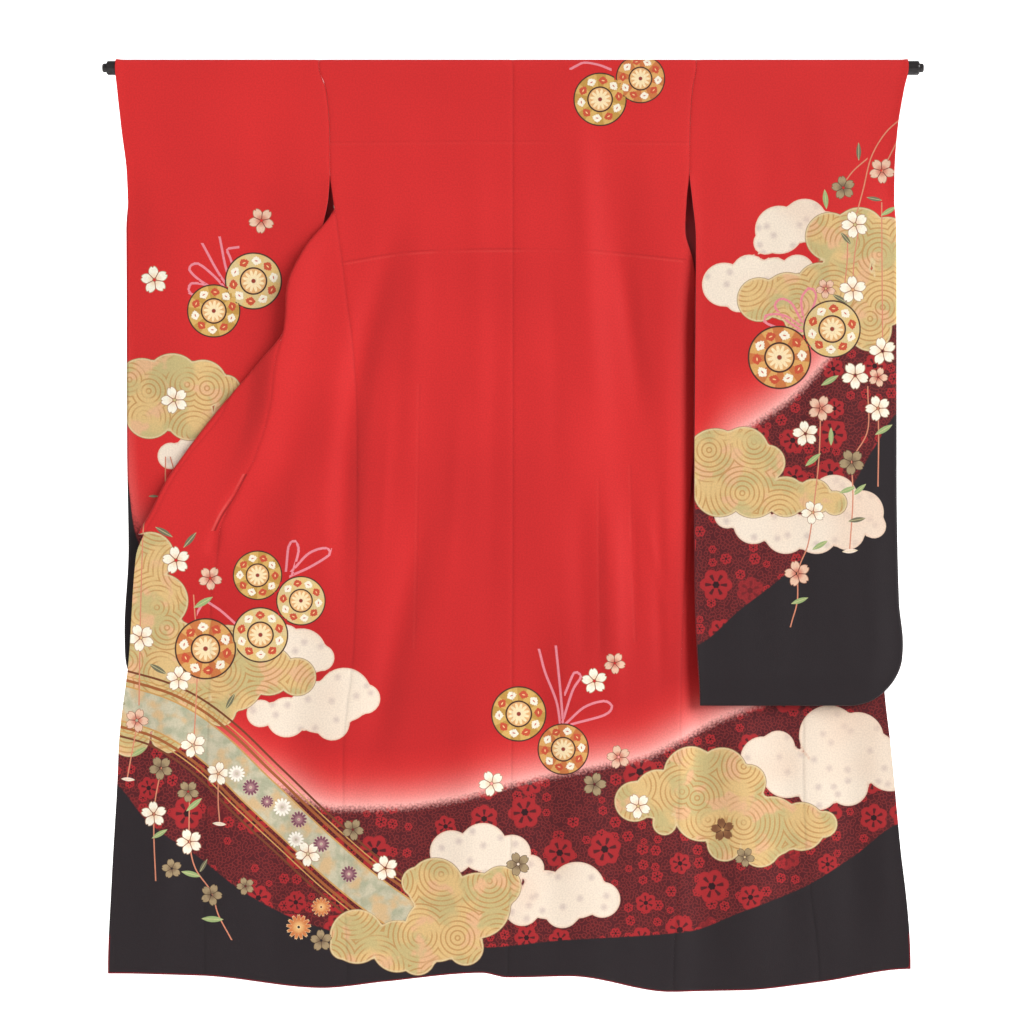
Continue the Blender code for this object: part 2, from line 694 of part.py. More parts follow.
def build_sleeve(name, sleeve, collection):
    """One sleeve as a closed bag: two layers, a turned outer edge and a turned foot."""
    surface = Surface()
    depths = sleeve.depths()
    near = {depth: surface.row(sleeve.row(depth, -1)) for depth in depths[1:]}
    far = {depth: surface.row(sleeve.row(depth, 1)) for depth in depths[1:]}
    top = sleeve.places(0.0)
    arc = [surface.row([over_rod(x, step) for x in top]) for step in range(ARC_STEPS + 1)]
    surface.strips([near[depth] for depth in reversed(depths[1:])] + arc)
    surface.strips([arc[-1]] + [far[depth] for depth in depths[1:]])
    closed = [depth for depth in depths if depth >= CUFF_DEPTH - 1e-6]
    near_rim = [near[depth][-1] for depth in closed] + near[depths[-1]][-2::-1]
    far_rim = [far[depth][-1] for depth in closed] + far[depths[-1]][-2::-1]
    turned = []
    corner = len(closed) - 1.0
    for index, (a, b) in enumerate(zip(near_rim, far_rim)):
        angle = math.pi / 2 * smooth(index, corner - CORNER_ROWS, corner)
        outer = Vector((sleeve.front.outward * math.cos(angle), 0.0, -math.sin(angle)))
        push = (surface.points[b].y - surface.points[a].y) / 2
        middle = (surface.points[a] + surface.points[b]) / 2
        turned.append((middle + outer * push, outer))
    surface.strips([near_rim, surface.row(turned), far_rim])
    return surface.wall(name, RED_CREPE, collection)


def build_rod(name, collection):
    """The rod: a turned profile with a smaller rounded tip at each end."""
    profile = [
        (0.0, -ROD_END),
        (0.80 * ROD_TIP_RADIUS, -ROD_END),
        (ROD_TIP_RADIUS, -ROD_END + 0.0015),
        (ROD_TIP_RADIUS, -ROD_SHOULDER),
        (0.90 * ROD_RADIUS, -ROD_SHOULDER),
        (ROD_RADIUS, -ROD_SHOULDER + 0.0020),
    ]
    profile += [(radius, -x) for radius, x in reversed(profile)]
    mesh = bpy.data.meshes.new(name)
    points = [(x, 0.0, radius) for radius, x in profile]
    edges = [(i, i + 1) for i in range(len(points) - 1)]
    mesh.from_pydata(points, edges, [])
    mesh.materials.append(make_material(LACQUER))
    rod = bpy.data.objects.new(name, mesh)
    collection.objects.link(rod)
    screw = rod.modifiers.new("turn", "SCREW")
    screw.axis = "X"
    screw.steps = ROD_SEGMENTS
    screw.render_steps = ROD_SEGMENTS
    screw.use_merge_vertices = True
    screw.merge_threshold = 0.0001
    screw.use_smooth_shade = True
    screw.use_normal_flip = True
    return rod


def main():
    """Builds every piece of the garment and the rod that holds it."""
    for item in list(bpy.data.objects):
        bpy.data.objects.remove(item, do_unlink=True)
    collection = bpy.data.collections.new("furisode_on_rod")
    bpy.context.scene.collection.children.link(collection)
    build_rod("rod", collection)
    build_body("body_left", left_front, left_side, -SEAM_GAP / 2, collection)
    build_body("body_right", right_front, right_side, SEAM_GAP / 2, collection)
    build_okumi("okumi_left", left_front, collection)
    build_okumi("okumi_right", right_front, collection)
    build_collar("collar", collection)
    left_sleeve = Sleeve(LEFT_SLEEVE_ROWS, left_front, "left_middle")
    right_sleeve = Sleeve(RIGHT_SLEEVE_ROWS, right_front, "right_middle")
    build_sleeve("sleeve_left", left_sleeve, collection)
    build_sleeve("sleeve_right", right_sleeve, collection)


main()
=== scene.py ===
"""Dresses the furisode that hangs on its rod: fine cloth, linings, dyed pattern and light.

Frame: metres, +Z up, origin on the rod's axis at its middle. The viewer looks along +Y,
so -Y is the side towards the viewer. Left and right are the viewer's. A depth is a
distance below the rod's axis, measured down the garment.

Each cloth piece is one sewn panel with an outer silk face, a lining face and a rolled
edge. Its form follows the solid that it stands for, with finer folds and sewn seams.
The pattern is dyed on the cloth: red ground, a pale glow above a band of small flowers,
a black foot, clouds, hanging cherry branches and thread balls. Painted shade darkens the
seams, the lower ground and the storage creases, each crease with a painted highlight.
"""

import logging
import math
from dataclasses import dataclass, field
from enum import Enum
from typing import Callable, NamedTuple

import bpy
import numpy as np
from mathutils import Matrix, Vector


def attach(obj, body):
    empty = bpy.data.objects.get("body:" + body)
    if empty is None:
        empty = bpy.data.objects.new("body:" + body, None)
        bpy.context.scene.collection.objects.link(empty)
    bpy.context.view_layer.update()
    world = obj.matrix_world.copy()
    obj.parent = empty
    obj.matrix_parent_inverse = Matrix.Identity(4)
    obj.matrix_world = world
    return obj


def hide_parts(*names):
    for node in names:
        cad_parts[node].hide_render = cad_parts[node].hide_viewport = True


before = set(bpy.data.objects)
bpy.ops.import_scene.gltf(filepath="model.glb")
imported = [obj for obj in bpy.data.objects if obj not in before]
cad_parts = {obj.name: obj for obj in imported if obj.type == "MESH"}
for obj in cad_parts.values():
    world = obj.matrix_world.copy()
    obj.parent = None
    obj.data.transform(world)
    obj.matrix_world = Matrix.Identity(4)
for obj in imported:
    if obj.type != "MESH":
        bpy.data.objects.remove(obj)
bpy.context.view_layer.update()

log = logging.getLogger("furisode")

Array = np.ndarray

# Driving sizes of the cloth and the rod, in metres
WALL = 0.0016
ROD_RADIUS = 0.0125
CLOTH_RADIUS = ROD_RADIUS + 0.0005 + WALL / 2
COLLAR_WIDTH = 0.055
NECK_HALF_WIDTH = 0.090
HEM_DEPTH = 1.580
KENSAKI_DEPTH = 0.230
COLLAR_FOOT = 0.811
FOLD_RADIUS = 0.004
HALF_TURN = math.pi * FOLD_RADIUS / 2
SLEEVE_DEPTH = 1.104
CUFF_DEPTH = 0.230
SLEEVE_CORNER = 0.080
ARMHOLE_DEPTH = 0.185
SIDE_SEAM_LEFT = 0.256
SIDE_SEAM_RIGHT = 0.285
BAG_EDGE_WIDTH = 0.0070
BAG_EDGE_REACH = 0.050
ARMHOLE_REACH = 0.100

# The right side of the back falls away towards the slit and passes behind the sleeve
SLOW_RECEDE = 0.0110
QUICK_RECEDE = 0.0130
# The left front rises to a ridge along its turning line and its okumi seam
RIDGE_RISE = 0.0095
RIDGE_WIDTH = 0.040
OKUMI_STEP_WIDTH = 0.045

# How finely the cloth is woven into faces, and how its rows crowd at a fold and at the hem
ROW_STEP = 0.0058
ARC_STEPS = 12
CROWD_REACH = 0.008
CROWD_SHARE = 0.22
EDGE_STEPS = np.array([0.0014, 0.0032])
HEM_STEPS = np.array([0.0055, 0.0035, 0.0018, 0.0])

# How motifs and drawn lines reach the faces, and how the wall thins and rolls at its edges
NOWHERE = 9.0
STAMP_REACH = 1.15
STAMP_MARGIN = 0.004
STROKE_STEP = 0.0045
STROKE_REACH = 0.0085
STREAM_REACH = 0.075
FACE_BATCH = 4000
SEAM_SINK = 0.65
EDGE_SOFTNESS = 0.0030
ROLL_SWELL = 1.1
ROLL_MIDDLE = 0.0015
ROLL_REACH = 0.0060
FAR_EDGE = 0.05
SHARP_ANGLE = math.radians(70)

MM_PER_METRE = 1000.0


def smooth(value: Array, start: float, end: float) -> Array:
    """Rises from 0 at start to 1 at end along an S curve.

    Args:
        value: Where the curve is read.
        start: The place of 0.
        end: The place of 1.

    Returns:
        The curve's height at each value.
    """
    t = np.clip((np.asarray(value, float) - start) / (end - start), 0.0, 1.0)
    return t * t * (3.0 - 2.0 * t)


def mix(first: Array, second: Array, share: Array) -> Array:
    """The value at a share of the way from the first to the second."""
    return first + (second - first) * share


@dataclass(frozen=True)
class Line:
    """A smooth line through points, which never overshoots them.

    Attributes:
        points: The places in rising order, each with its value.
    """

    points: "tuple[tuple[float, float], ...] | Array"

    def __call__(self, place: Array) -> Array:
        """Reads the line.

        Args:
            place: Where the line is read.

        Returns:
            The line's value at each place.
        """
        places, values = np.array(self.points, float).T
        steps = np.diff(places)
        rises = np.diff(values) / steps
        slopes = np.zeros(len(places))
        before = 2.0 * steps[1:] + steps[:-1]
        after = steps[1:] + 2.0 * steps[:-1]
        for i in range(1, len(places) - 1):
            if rises[i - 1] * rises[i] > 0.0:
                weight = before[i - 1] / rises[i - 1] + after[i - 1] / rises[i]
                slopes[i] = (before[i - 1] + after[i - 1]) / weight
        place = np.clip(place, places[0], places[-1])
        i = np.clip(np.searchsorted(places, place, side="right") - 1, 0, len(steps) - 1)
        t = (place - places[i]) / steps[i]
        bend = steps[i] * t * (1.0 - t) * ((1.0 - t) * slopes[i] - t * slopes[i + 1])
        return mix(values[i], values[i + 1], t * t * (3.0 - 2.0 * t)) + bend


@dataclass(frozen=True)
class Profile:
    """A table of measures down the garment.

    Attributes:
        names: The name of each column after the first, which holds the depths.
        rows: The rows, from the rod down.
    """

    names: tuple[str, ...]
    rows: tuple[tuple[float, ...], ...]

    def line(self, name: str) -> Line:
        """The smooth line through one column."""
        column = 1 + self.names.index(name)
        return Line(tuple((row[0], row[column]) for row in self.rows))


class Crease(NamedTuple):
    """A soft fold from a start to an end. A positive fall is a valley, a negative one a ridge."""

    x_start: float
    depth_start: float
    x_end: float
    depth_end: float
    width: float
    fall: float
    bow: float = 0.0


# Side seams and centre seam of the back
BODY = Profile(
    ("left_side", "right_side", "centre"),
    (
        (0.0, -0.3365, 0.3178, 0.0), (0.04, -0.3243, 0.3112, 0.0), (0.11, -0.3179, 0.3068, 0.0),
        (0.185, -0.3173, 0.3058, 0.0), (0.225, -0.3125, 0.3015, 0.0), (0.285, -0.3035, 0.2985, 0.0),
        (0.335, -0.2965, 0.312, 0.0), (0.385, -0.2905, 0.319, 0.0), (0.5, -0.2765, 0.3185, 0.0),
        (0.62, -0.2705, 0.316, 0.0), (0.8, -0.27, 0.304, 0.0), (1.0, -0.2755, 0.2935, -0.001),
        (1.2, -0.294, 0.289, -0.002), (1.4, -0.292, 0.285, -0.005), (1.58, -0.287, 0.2775, -0.009),
    ),
)
# Distances across each front from its side seam: two seams and the turning line
LEFT_FRONT = Profile(
    ("okumi_seam", "collar_seam", "fold"),
    (
        (0.0, 0.2465, 0.2465, -HALF_TURN), (0.1, 0.233, 0.233, -HALF_TURN),
        (0.185, 0.217, 0.217, -HALF_TURN), (0.23, 0.2025, 0.206, -HALF_TURN), (0.256, 0.19, 0.201, 0.009),
        (0.317, 0.165, 0.193, 0.065), (0.378, 0.14, 0.182, 0.1005), (0.459, 0.12, 0.172, 0.119),
        (0.513, 0.135, 0.2, 0.167), (0.595, 0.15, 0.23, 0.242), (0.677, 0.176, 0.2925, 0.305),
        (0.72, 0.198, 0.3215, 0.334), (0.771, 0.226, 0.3465, 0.359), (0.811, 0.239, 0.3685, 0.381),
        (0.85, 0.242, 0.382, 0.395), (0.926, 0.2507, 0.386, 0.399), (1.08, 0.243, 0.388, 0.401),
        (1.17, 0.236, 0.3885, 0.4015), (1.404, 0.242, 0.402, 0.415), (1.58, 0.247, 0.414, 0.427),
    ),
)
RIGHT_FRONT = Profile(
    ("okumi_seam", "collar_seam", "fold"),
    (
        (0.0, 0.2278, 0.2278, 0.31), (0.055, 0.23, 0.23, 0.298), (0.185, 0.236, 0.236, 0.224),
        (0.23, 0.2365, 0.24, 0.202), (0.3, 0.235, 0.254, 0.168), (0.4, 0.231, 0.272, 0.124),
        (0.5, 0.226, 0.288, 0.084), (0.6, 0.222, 0.306, 0.046), (0.69, 0.2185, 0.32, 0.01),
        (0.805, 0.216, 0.336, -HALF_TURN), (0.95, 0.2158, 0.346, -HALF_TURN),
        (1.075, 0.2155, 0.3543, -HALF_TURN), (1.19, 0.216, 0.369, -HALF_TURN),
        (1.357, 0.223, 0.3865, -HALF_TURN), (1.58, 0.254, 0.413, -HALF_TURN),
    ),
)
# Inner and outer edge of each sleeve
LEFT_SLEEVE = Profile(
    ("inner", "outer"),
    (
        (0.0, -0.3368, -0.69), (0.04, -0.3246, -0.6865), (0.11, -0.3182, -0.679),
        (0.185, -0.3176, -0.6705), (0.225, -0.32, -0.6695), (0.3, -0.333, -0.669),
        (0.665, -0.334, -0.668), (0.837, -0.332, -0.6655), (0.98, -0.329, -0.6725),
        (1.104, -0.328, -0.668),
    ),
)
RIGHT_SLEEVE = Profile(
    ("inner", "outer"),
    (
        (0.0, 0.3181, 0.686), (0.04, 0.3115, 0.678), (0.11, 0.3071, 0.6665), (0.185, 0.3061, 0.6612),
        (0.225, 0.31, 0.661), (0.3, 0.3165, 0.661), (0.7, 0.314, 0.661), (0.926, 0.3155, 0.665),
        (1.0, 0.3185, 0.672), (1.104, 0.324, 0.664),
    ),
)
# Middle of each sleeve's bag in y, and the bag's full width
BAG = Profile(
    ("left_middle", "right_middle", "width"),
    (
        (0.0, 0.0, 0.0, 2 * CLOTH_RADIUS), (0.08, 0.0005, -0.002, 0.026), (0.19, 0.0015, -0.007, 0.021),
        (0.36, 0.004, -0.014, 0.017), (1.104, 0.0045, -0.015, 0.016),
    ),
)
# Depth of the hem across the garment
HEM_LINE = Line((
    (-0.701, 1.571), (-0.536, 1.575), (-0.33, 1.596), (-0.221, 1.585), (-0.054, 1.57), (-0.009, 1.578),
    (0.099, 1.576), (0.275, 1.605), (0.4, 1.603), (0.531, 1.589), (0.691, 1.566),
))
# Lines down the garment: the collar's turn behind the okumi, the back's y, the okumi's step
COLLAR_TURN = Line(((0.0, 0.07), (0.52, 0.064), (0.64, 0.015), (0.811, 0.013)))
BACK_LINE = Line(((0.0, -CLOTH_RADIUS), (0.19, -0.0145), (0.35, -0.02), (0.6, -0.0225), (1.58, -0.0215)))
OKUMI_STEP = Line(((0.4, 0.0), (0.47, 0.009), (0.6, 0.008), (0.7, 0.003), (0.78, 0.0)))
# The large folds of the back and of both fronts, then the finer ones
MAIN_CREASES = tuple(
    Crease(*row)
    for row in (
        (-0.2, 0.28, -0.287, 0.96, 0.026, 0.0092, -0.037), (-0.345, 0.56, -0.48, 0.86, 0.052, 0.0105),
        (-0.158, 0.24, -0.18, 0.74, 0.022, -0.0026), (-0.15, 0.76, -0.262, 1.26, 0.028, 0.008),
        (0.118, 0.07, 0.148, 0.66, 0.024, -0.0032), (0.176, 0.08, 0.19, 0.86, 0.042, 0.005),
        (0.184, 0.3, 0.226, 0.62, 0.018, 0.004), (0.112, 0.73, 0.124, 1.06, 0.022, 0.0034),
        (0.16, 0.7, 0.172, 1.08, 0.018, -0.003), (0.205, 0.74, 0.212, 1.06, 0.016, 0.0022),
        (0.262, 0.26, 0.272, 0.98, 0.024, -0.0034), (0.04, 0.9, 0.075, 1.56, 0.04, 0.005),
        (-0.06, 1.05, -0.085, 1.57, 0.04, -0.005), (-0.36, 0.95, -0.42, 1.56, 0.04, 0.006),
        (-0.59, 0.98, -0.61, 1.56, 0.035, -0.005), (0.39, 1.02, 0.41, 1.59, 0.04, -0.006),
        (0.57, 1.06, 0.6, 1.57, 0.035, 0.005),
    )
)
FINE_CREASES = tuple(
    Crease(*row)
    for row in (
        (0.15, 0.715, 0.152, 1.12, 0.009, 0.0016), (0.18, 0.72, 0.182, 1.15, 0.01, -0.0014),
        (0.205, 0.715, 0.213, 0.972, 0.006, 0.0012), (0.231, 0.785, 0.264, 0.972, 0.006, -0.0014, 0.004),
        (0.252, 0.7, 0.256, 1.1, 0.009, 0.0022), (0.061, 0.28, 0.07, 0.76, 0.016, 0.0011, 0.006),
        (0.024, 0.16, 0.03, 0.56, 0.018, -0.001, -0.005), (-0.06, 0.2, -0.066, 0.7, 0.02, -0.0012, 0.006),
        (-0.026, 0.42, -0.038, 0.98, 0.018, 0.0012, -0.004),
        (-0.09, 0.52, -0.12, 0.96, 0.015, -0.0014, 0.004), (-0.21, 0.52, -0.232, 0.9, 0.01, -0.0012),
        (0.08, 0.98, 0.1, 1.48, 0.024, -0.0014), (0.17, 1.14, 0.176, 1.56, 0.024, 0.0016),
        (-0.15, 1.18, -0.17, 1.56, 0.026, 0.0016), (-0.23, 1.0, -0.262, 1.54, 0.022, -0.0018),
        (-0.47, 0.724, -0.51, 0.796, 0.007, 0.003, -0.003), (-0.512, 0.796, -0.524, 0.85, 0.01, 0.004),
        (-0.372, 0.7, -0.392, 0.96, 0.02, -0.0018), (-0.47, 0.9, -0.5, 1.5, 0.026, -0.002),
        (-0.54, 1.02, -0.56, 1.55, 0.024, 0.0018), (0.33, 1.08, 0.336, 1.58, 0.024, 0.0018),
        (0.47, 1.1, 0.482, 1.56, 0.026, 0.002), (0.64, 1.1, 0.652, 1.54, 0.022, -0.0016),
    )
)
# Folds of the sleeves, the same on both of their layers
LEFT_SLEEVE_CREASES = tuple(
    Crease(*row)
    for row in (
        (-0.42, 0.06, -0.47, 0.42, 0.03, 0.0016, 0.012),
        (-0.56, 0.08, -0.575, 0.7, 0.034, -0.0018, -0.01), (-0.5, 0.3, -0.52, 1.0, 0.03, 0.0016, 0.008),
        (-0.62, 0.3, -0.632, 1.0, 0.024, 0.0014), (-0.4, 0.5, -0.41, 1.06, 0.028, -0.0014),
    )
)
RIGHT_SLEEVE_CREASES = tuple(
    Crease(*row)
    for row in (
        (0.42, 0.06, 0.455, 0.52, 0.032, 0.0014, -0.01), (0.54, 0.07, 0.552, 0.76, 0.034, -0.0016, 0.008),
        (0.61, 0.22, 0.618, 0.98, 0.026, 0.0014), (0.37, 0.48, 0.382, 1.06, 0.026, -0.0012),
        (0.48, 0.64, 0.496, 1.08, 0.03, 0.0014, 0.006),
    )
)


left_side = BODY.line("left_side")
right_side = BODY.line("right_side")
centre_line = BODY.line("centre")
left_okumi_seam = LEFT_FRONT.line("okumi_seam")
left_turn = LEFT_FRONT.line("fold")


def falls(creases: tuple[Crease, ...], x: Array, depth: Array) -> Array:
    """How far a set of creases moves the cloth away from the viewer.

    Args:
        creases: The folds of this part of the cloth.
        x: Places across.
        depth: Places down the garment.

    Returns:
        The sum of all the folds at each place.
    """
    total = np.zeros(np.broadcast(x, depth).shape)
    for crease in creases:
        run_x = crease.x_end - crease.x_start
        run_depth = crease.depth_end - crease.depth_start
        length = math.hypot(run_x, run_depth)
        from_x = x - crease.x_start
        from_depth = depth - crease.depth_start
        along = (from_x * run_x + from_depth * run_depth) / length**2
        across = (from_x * run_depth - from_depth * run_x) / length
        bend = crease.bow * 4.0 * along * (1.0 - along)
        fade = smooth(along, -0.1, 0.35) * smooth(1.1 - along, 0.0, 0.45)
        total += crease.fall * fade * np.exp(-(((across - bend) / crease.width) ** 2))
    return total


def ripple(x: Array, depth: Array) -> Array:
    """Faint unevenness of hanging silk, under a millimetre high.

    Args:
        x: Places across.
        depth: Places down the garment.

    Returns:
        How far the cloth is moved at each place.
    """
    slow = np.sin(x * 41.0 + 1.3 * np.sin(depth * 7.0)) * np.sin(depth * 5.3 + 0.8)
    quick = np.sin(x * 87.0 - depth * 11.0) * np.sin(depth * 13.0 + x * 19.0)
    return 0.00035 * slow + 0.00020 * quick


def relief(creases: tuple[Crease, ...], x: Array, depth: Array) -> Array:
    """The folds and the unevenness together, which start a little below the rod."""
    return smooth(depth, 0.03, 0.12) * (falls(creases, x, depth) + ripple(x, depth))


def near_y(x: Array, depth: Array) -> Array:
    """Depth in y of the spread skirt: the back, and the fronts beyond its side seams.

    Args:
        x: Places across.
        depth: Places down the garment.

    Returns:
        The middle of the cloth at each place.
    """
    y = BACK_LINE(depth)
    quick = QUICK_RECEDE * smooth(x, 0.285, 0.325) * (1.0 - 0.7 * smooth(depth, 1.12, 1.40))
    y = y + (SLOW_RECEDE * smooth(x, 0.100, 0.310) + quick) * smooth(depth, 0.25, 0.48)
    seam_x = left_side(depth) - left_okumi_seam(depth)
    y = y + OKUMI_STEP(depth) * smooth(seam_x - x, -0.004, OKUMI_STEP_WIDTH)
    ridge_x = np.maximum(left_side(depth) - left_turn(depth), seam_x)
    rise = RIDGE_RISE * smooth(depth, 0.24, 0.36) * (1.0 - smooth(depth, 0.62, 0.84))
    y = y - rise * np.exp(-(((x - ridge_x) / RIDGE_WIDTH) ** 2))
    return y + relief(MAIN_CREASES + FINE_CREASES, x, depth)


def far_y(depth: Array) -> Array:
    """Depth in y of the fronts' upper part, which hangs from the far side of the rod."""
    return mix(CLOTH_RADIUS, 0.0095, smooth(depth, 0.0, ARMHOLE_DEPTH))


def hemmed(depth: Array, x: Array) -> Array:
    """Height of the cloth, with the hem's own line reached at the last row."""
    share = smooth(depth, 0.75 * HEM_DEPTH, HEM_DEPTH)
    return -(depth + (HEM_LINE(x) - HEM_DEPTH) * share)


def doubled(distance: Array, folds: list[Array]) -> tuple[Array, Array]:
    """Where the cloth lies once it doubles back at each fold.

    Args:
        distance: Distances across the cloth from its start.
        folds: The distance of each turning line, in order.

    Returns:
        The way gone sideways from the start, and how far behind it the cloth lies.
    """
    sideways = np.zeros_like(distance)
    behind = np.zeros_like(distance)
    run_start = np.zeros_like(distance)
    heading = 1.0
    lowest = -1.0
    for fold in folds:
        turn_start = fold - HALF_TURN
        run = np.minimum(distance, turn_start) - run_start
        sideways += heading * np.maximum(run, lowest)
        angle = np.clip((distance - turn_start) / FOLD_RADIUS, 0.0, math.pi)
        sideways += heading * FOLD_RADIUS * np.sin(angle)
        behind += FOLD_RADIUS * (1.0 - np.cos(angle))
        heading = -heading
        run_start = fold + HALF_TURN
        lowest = 0.0
    return sideways + heading * np.maximum(distance - run_start, 0.0), behind


@dataclass(frozen=True)
class FrontSide:
    """One front of the garment: its body panel, okumi and collar as one folded cloth.

    Attributes:
        seams: Its seams and turning line.
        side: The side seam, where it meets the back.
        outward: The sign of x away from the garment's middle.
        seam_top: Depth at which the side seam begins, below the slit.
    """

    seams: Profile
    side: Line
    outward: float
    seam_top: float

    def seam(self, name: str, depth: Array) -> Array:
        """Distance from the side seam to one of the front's own lines."""
        return self.seams.line(name)(depth)

    def folds(self, depth: Array) -> list[Array]:
        """Where the cloth doubles back, as distances from the side seam."""
        return [self.seam("fold", depth)]

    def body_edge(self, depth: Array) -> Array:
        """Inner edge of the body panel: at the collar, or at the okumi further down."""
        return np.minimum(self.seam("okumi_seam", depth), self.seam("collar_seam", depth))

    def hanging(self, depth: Array) -> Array:
        """1 where the cloth hangs from the far side of the rod, 0 below the slit."""
        return 1.0 - smooth(depth, ARMHOLE_DEPTH - 0.03, self.seam_top)

    def place(self, distance: Array, depth: Array) -> Array:
        """Points of the cloth's middle.

        Args:
            distance: Distances across the cloth from the side seam.
            depth: Depths of the same points.

        Returns:
            The x, y and z of each point in the last axis.
        """
        folds = self.folds(depth)
        sideways, behind = doubled(distance, folds)
        start, start_behind = doubled(np.zeros_like(distance), folds)
        x, near, far = self.laid(distance, depth, sideways - start, (behind, start_behind))
        return np.stack([x, mix(near, far, self.hanging(depth)), hemmed(depth, x)], axis=-1)


class LeftFront(FrontSide):
    """The left front goes out before its sleeve and doubles back behind itself."""

    def laid(self, distance: Array, depth: Array, gone: Array, behind: tuple) -> tuple[Array, ...]:
        """Where the cloth lies.

        Args:
            distance: Distances across the cloth from the side seam. Not used here.
            depth: Depths of the same points.
            gone: The way gone sideways from the side seam.
            behind: How far behind the fold's start each point and the side seam lie.

        Returns:
            The x of each point, and its y below the slit and above it.
        """
        upright = 1.0 - np.abs(behind[1] / FOLD_RADIUS - 1.0)
        x = self.side(depth) - 0.7 * WALL * upright - gone
        return x, near_y(x, depth) + behind[0], far_y(depth) + behind[0] - behind[1]


class RightFront(FrontSide):
    """The right front starts inward behind the back and doubles out behind its sleeve."""

    def folds(self, depth: Array) -> list[Array]:
        """Where the cloth doubles back: at its own fold, and at the collar's turn."""
        return [self.seam("fold", depth), self.seam("collar_seam", depth) + COLLAR_TURN(depth)]

    def laid(self, distance: Array, depth: Array, gone: Array, behind: tuple) -> tuple[Array, ...]:
        """Where the cloth lies.

        Args:
            distance: Distances across the cloth from the side seam.
            depth: Depths of the same points.
            gone: The way gone sideways from the side seam.
            behind: How far behind the fold's start each point and the side seam lie.

        Returns:
            The x of each point, and its y below the slit and above it.
        """
        x = self.side(depth) - gone
        clear = WALL + 0.0003 + 0.006 * smooth(distance, 0.0, 0.022)
        spread = 1.0 - smooth(depth, 0.80, 0.95)
        back = behind[0] - behind[1]
        return x, near_y(x, depth) + back + clear * spread, far_y(depth) + back


left_front = LeftFront(LEFT_FRONT, left_side, -1.0, SIDE_SEAM_LEFT)
right_front = RightFront(RIGHT_FRONT, right_side, 1.0, SIDE_SEAM_RIGHT)


def back_place(x: Array, depth: Array) -> Array:
    """Points of the back's middle, as x, y and z in the last axis."""
    return np.stack([x, near_y(x, depth), hemmed(depth, x)], axis=-1)


def facing(place: Callable, across: Array, depth: Array, side: float) -> tuple[Array, Array]:
    """Points of a surface with the directions that its outer side faces.

    Args:
        place: Gives the surface's points.
        across: First coordinate of the points.
        depth: Second coordinate of the points.
        side: Which way is out, 1 or -1.

    Returns:
        The points and their outward directions.
    """
    step = 0.0005
    run = place(across + step, depth) - place(across - step, depth)
    fall = place(across, depth + step) - place(across, depth - step)
    outer = np.cross(run, fall)
    outer /= np.linalg.norm(outer, axis=-1, keepdims=True)
    return place(across, depth), outer * side


def over_rod(x: Array) -> tuple[Array, Array]:
    """Rows of points over the rod, from the near side to the far one.

    Args:
        x: Places across.

    Returns:
        The points and their outward directions.
    """
    angle = np.linspace(0.0, math.pi, ARC_STEPS + 1)[:, None] + 0.0 * x[None, :]
    outer = np.stack([0.0 * angle, -np.cos(angle), np.sin(angle)], axis=-1)
    return outer * CLOTH_RADIUS + np.stack([x + 0.0 * angle, 0 * angle, 0 * angle], -1), outer


def crowded(start: Array, end: Array, count: int, crowd: Array) -> Array:
    """Places across each row that crowd around one place, for a fold's turn.

    Args:
        start: First place of each row.
        end: Last place of each row.
        count: Steps in a row.
        crowd: The place that needs the finest steps, for each row.

    Returns:
        One row of places for each start.
    """
    crowd = np.clip(crowd, start + 0.4 * CROWD_REACH, end - 0.4 * CROWD_REACH)
    samples = np.linspace(0.0, 1.0, 321)
    rows = []
    for first, last, middle in zip(start, end, crowd):
        bump = np.exp(-(((mix(first, last, samples) - middle) / CROWD_REACH) ** 2))
        bump = np.cumsum(bump) - bump[0]
        reached = CROWD_SHARE * bump / bump[-1] + (1.0 - CROWD_SHARE) * samples
        rows.append(mix(first, last, np.interp(np.linspace(0, 1, count + 1), reached, samples)))
    return np.array(rows)


def row_depths(start: float, end: float) -> Array:
    """Evenly spaced depths from start to end, both included."""
    return np.linspace(start, end, max(2, round((end - start) / ROW_STEP) + 1))


def hemmed_depths(start: float) -> Array:
    """Depths from start to the hem, closer together at the hem's roll."""
    return np.concatenate([row_depths(start, HEM_DEPTH - 0.008), HEM_DEPTH - HEM_STEPS])


def edged(width: float, count: int) -> Array:
    """Shares across a panel from 0 to 1, with two extra ones close to each edge for its turn."""
    close = EDGE_STEPS / width
    return np.unique(np.concatenate([np.linspace(0.0, 1.0, count + 1), close, 1.0 - close]))


class Motif(Enum):
    """Kinds of motif that are dyed on the cloth, with the number the dye work reads."""

    WHITE_BLOSSOM = 1
    PALE_BLOSSOM = 2
    SHADOW_BLOSSOM = 3
    BROWN_BLOSSOM = 4
    WHITE_MUM = 5
    PLUM_MUM = 6
    ORANGE_MUM = 7
    GREEN_LEAF = 8
    GREY_LEAF = 9
    BUD = 10
    ORANGE_BALL = 11
    GOLD_BALL = 12
    CREAM_BALL = 13


class Thread(Enum):
    """Drawn lines: thin branches, the balls' cords, and the painted shade of storage creases."""

    STEM = 1
    CORD = 2
    FAINT_CREASE = 3
    CREASE = 4
    SHARP_CREASE = 5


# The patterns are laid out in millimetres. A point is an x and a depth. A lobe is a round
# part of a cloud: x, depth and radius. A stamp is one motif: x, depth, radius, and its
# turn in degrees.
Point = tuple[float, float]
Lobe = tuple[float, float, float]
Stamp = tuple[float, float, float, float]
Stamps = dict[Motif, tuple[Stamp, ...]]
Strokes = dict[Thread, tuple[tuple[Point, ...], ...]]


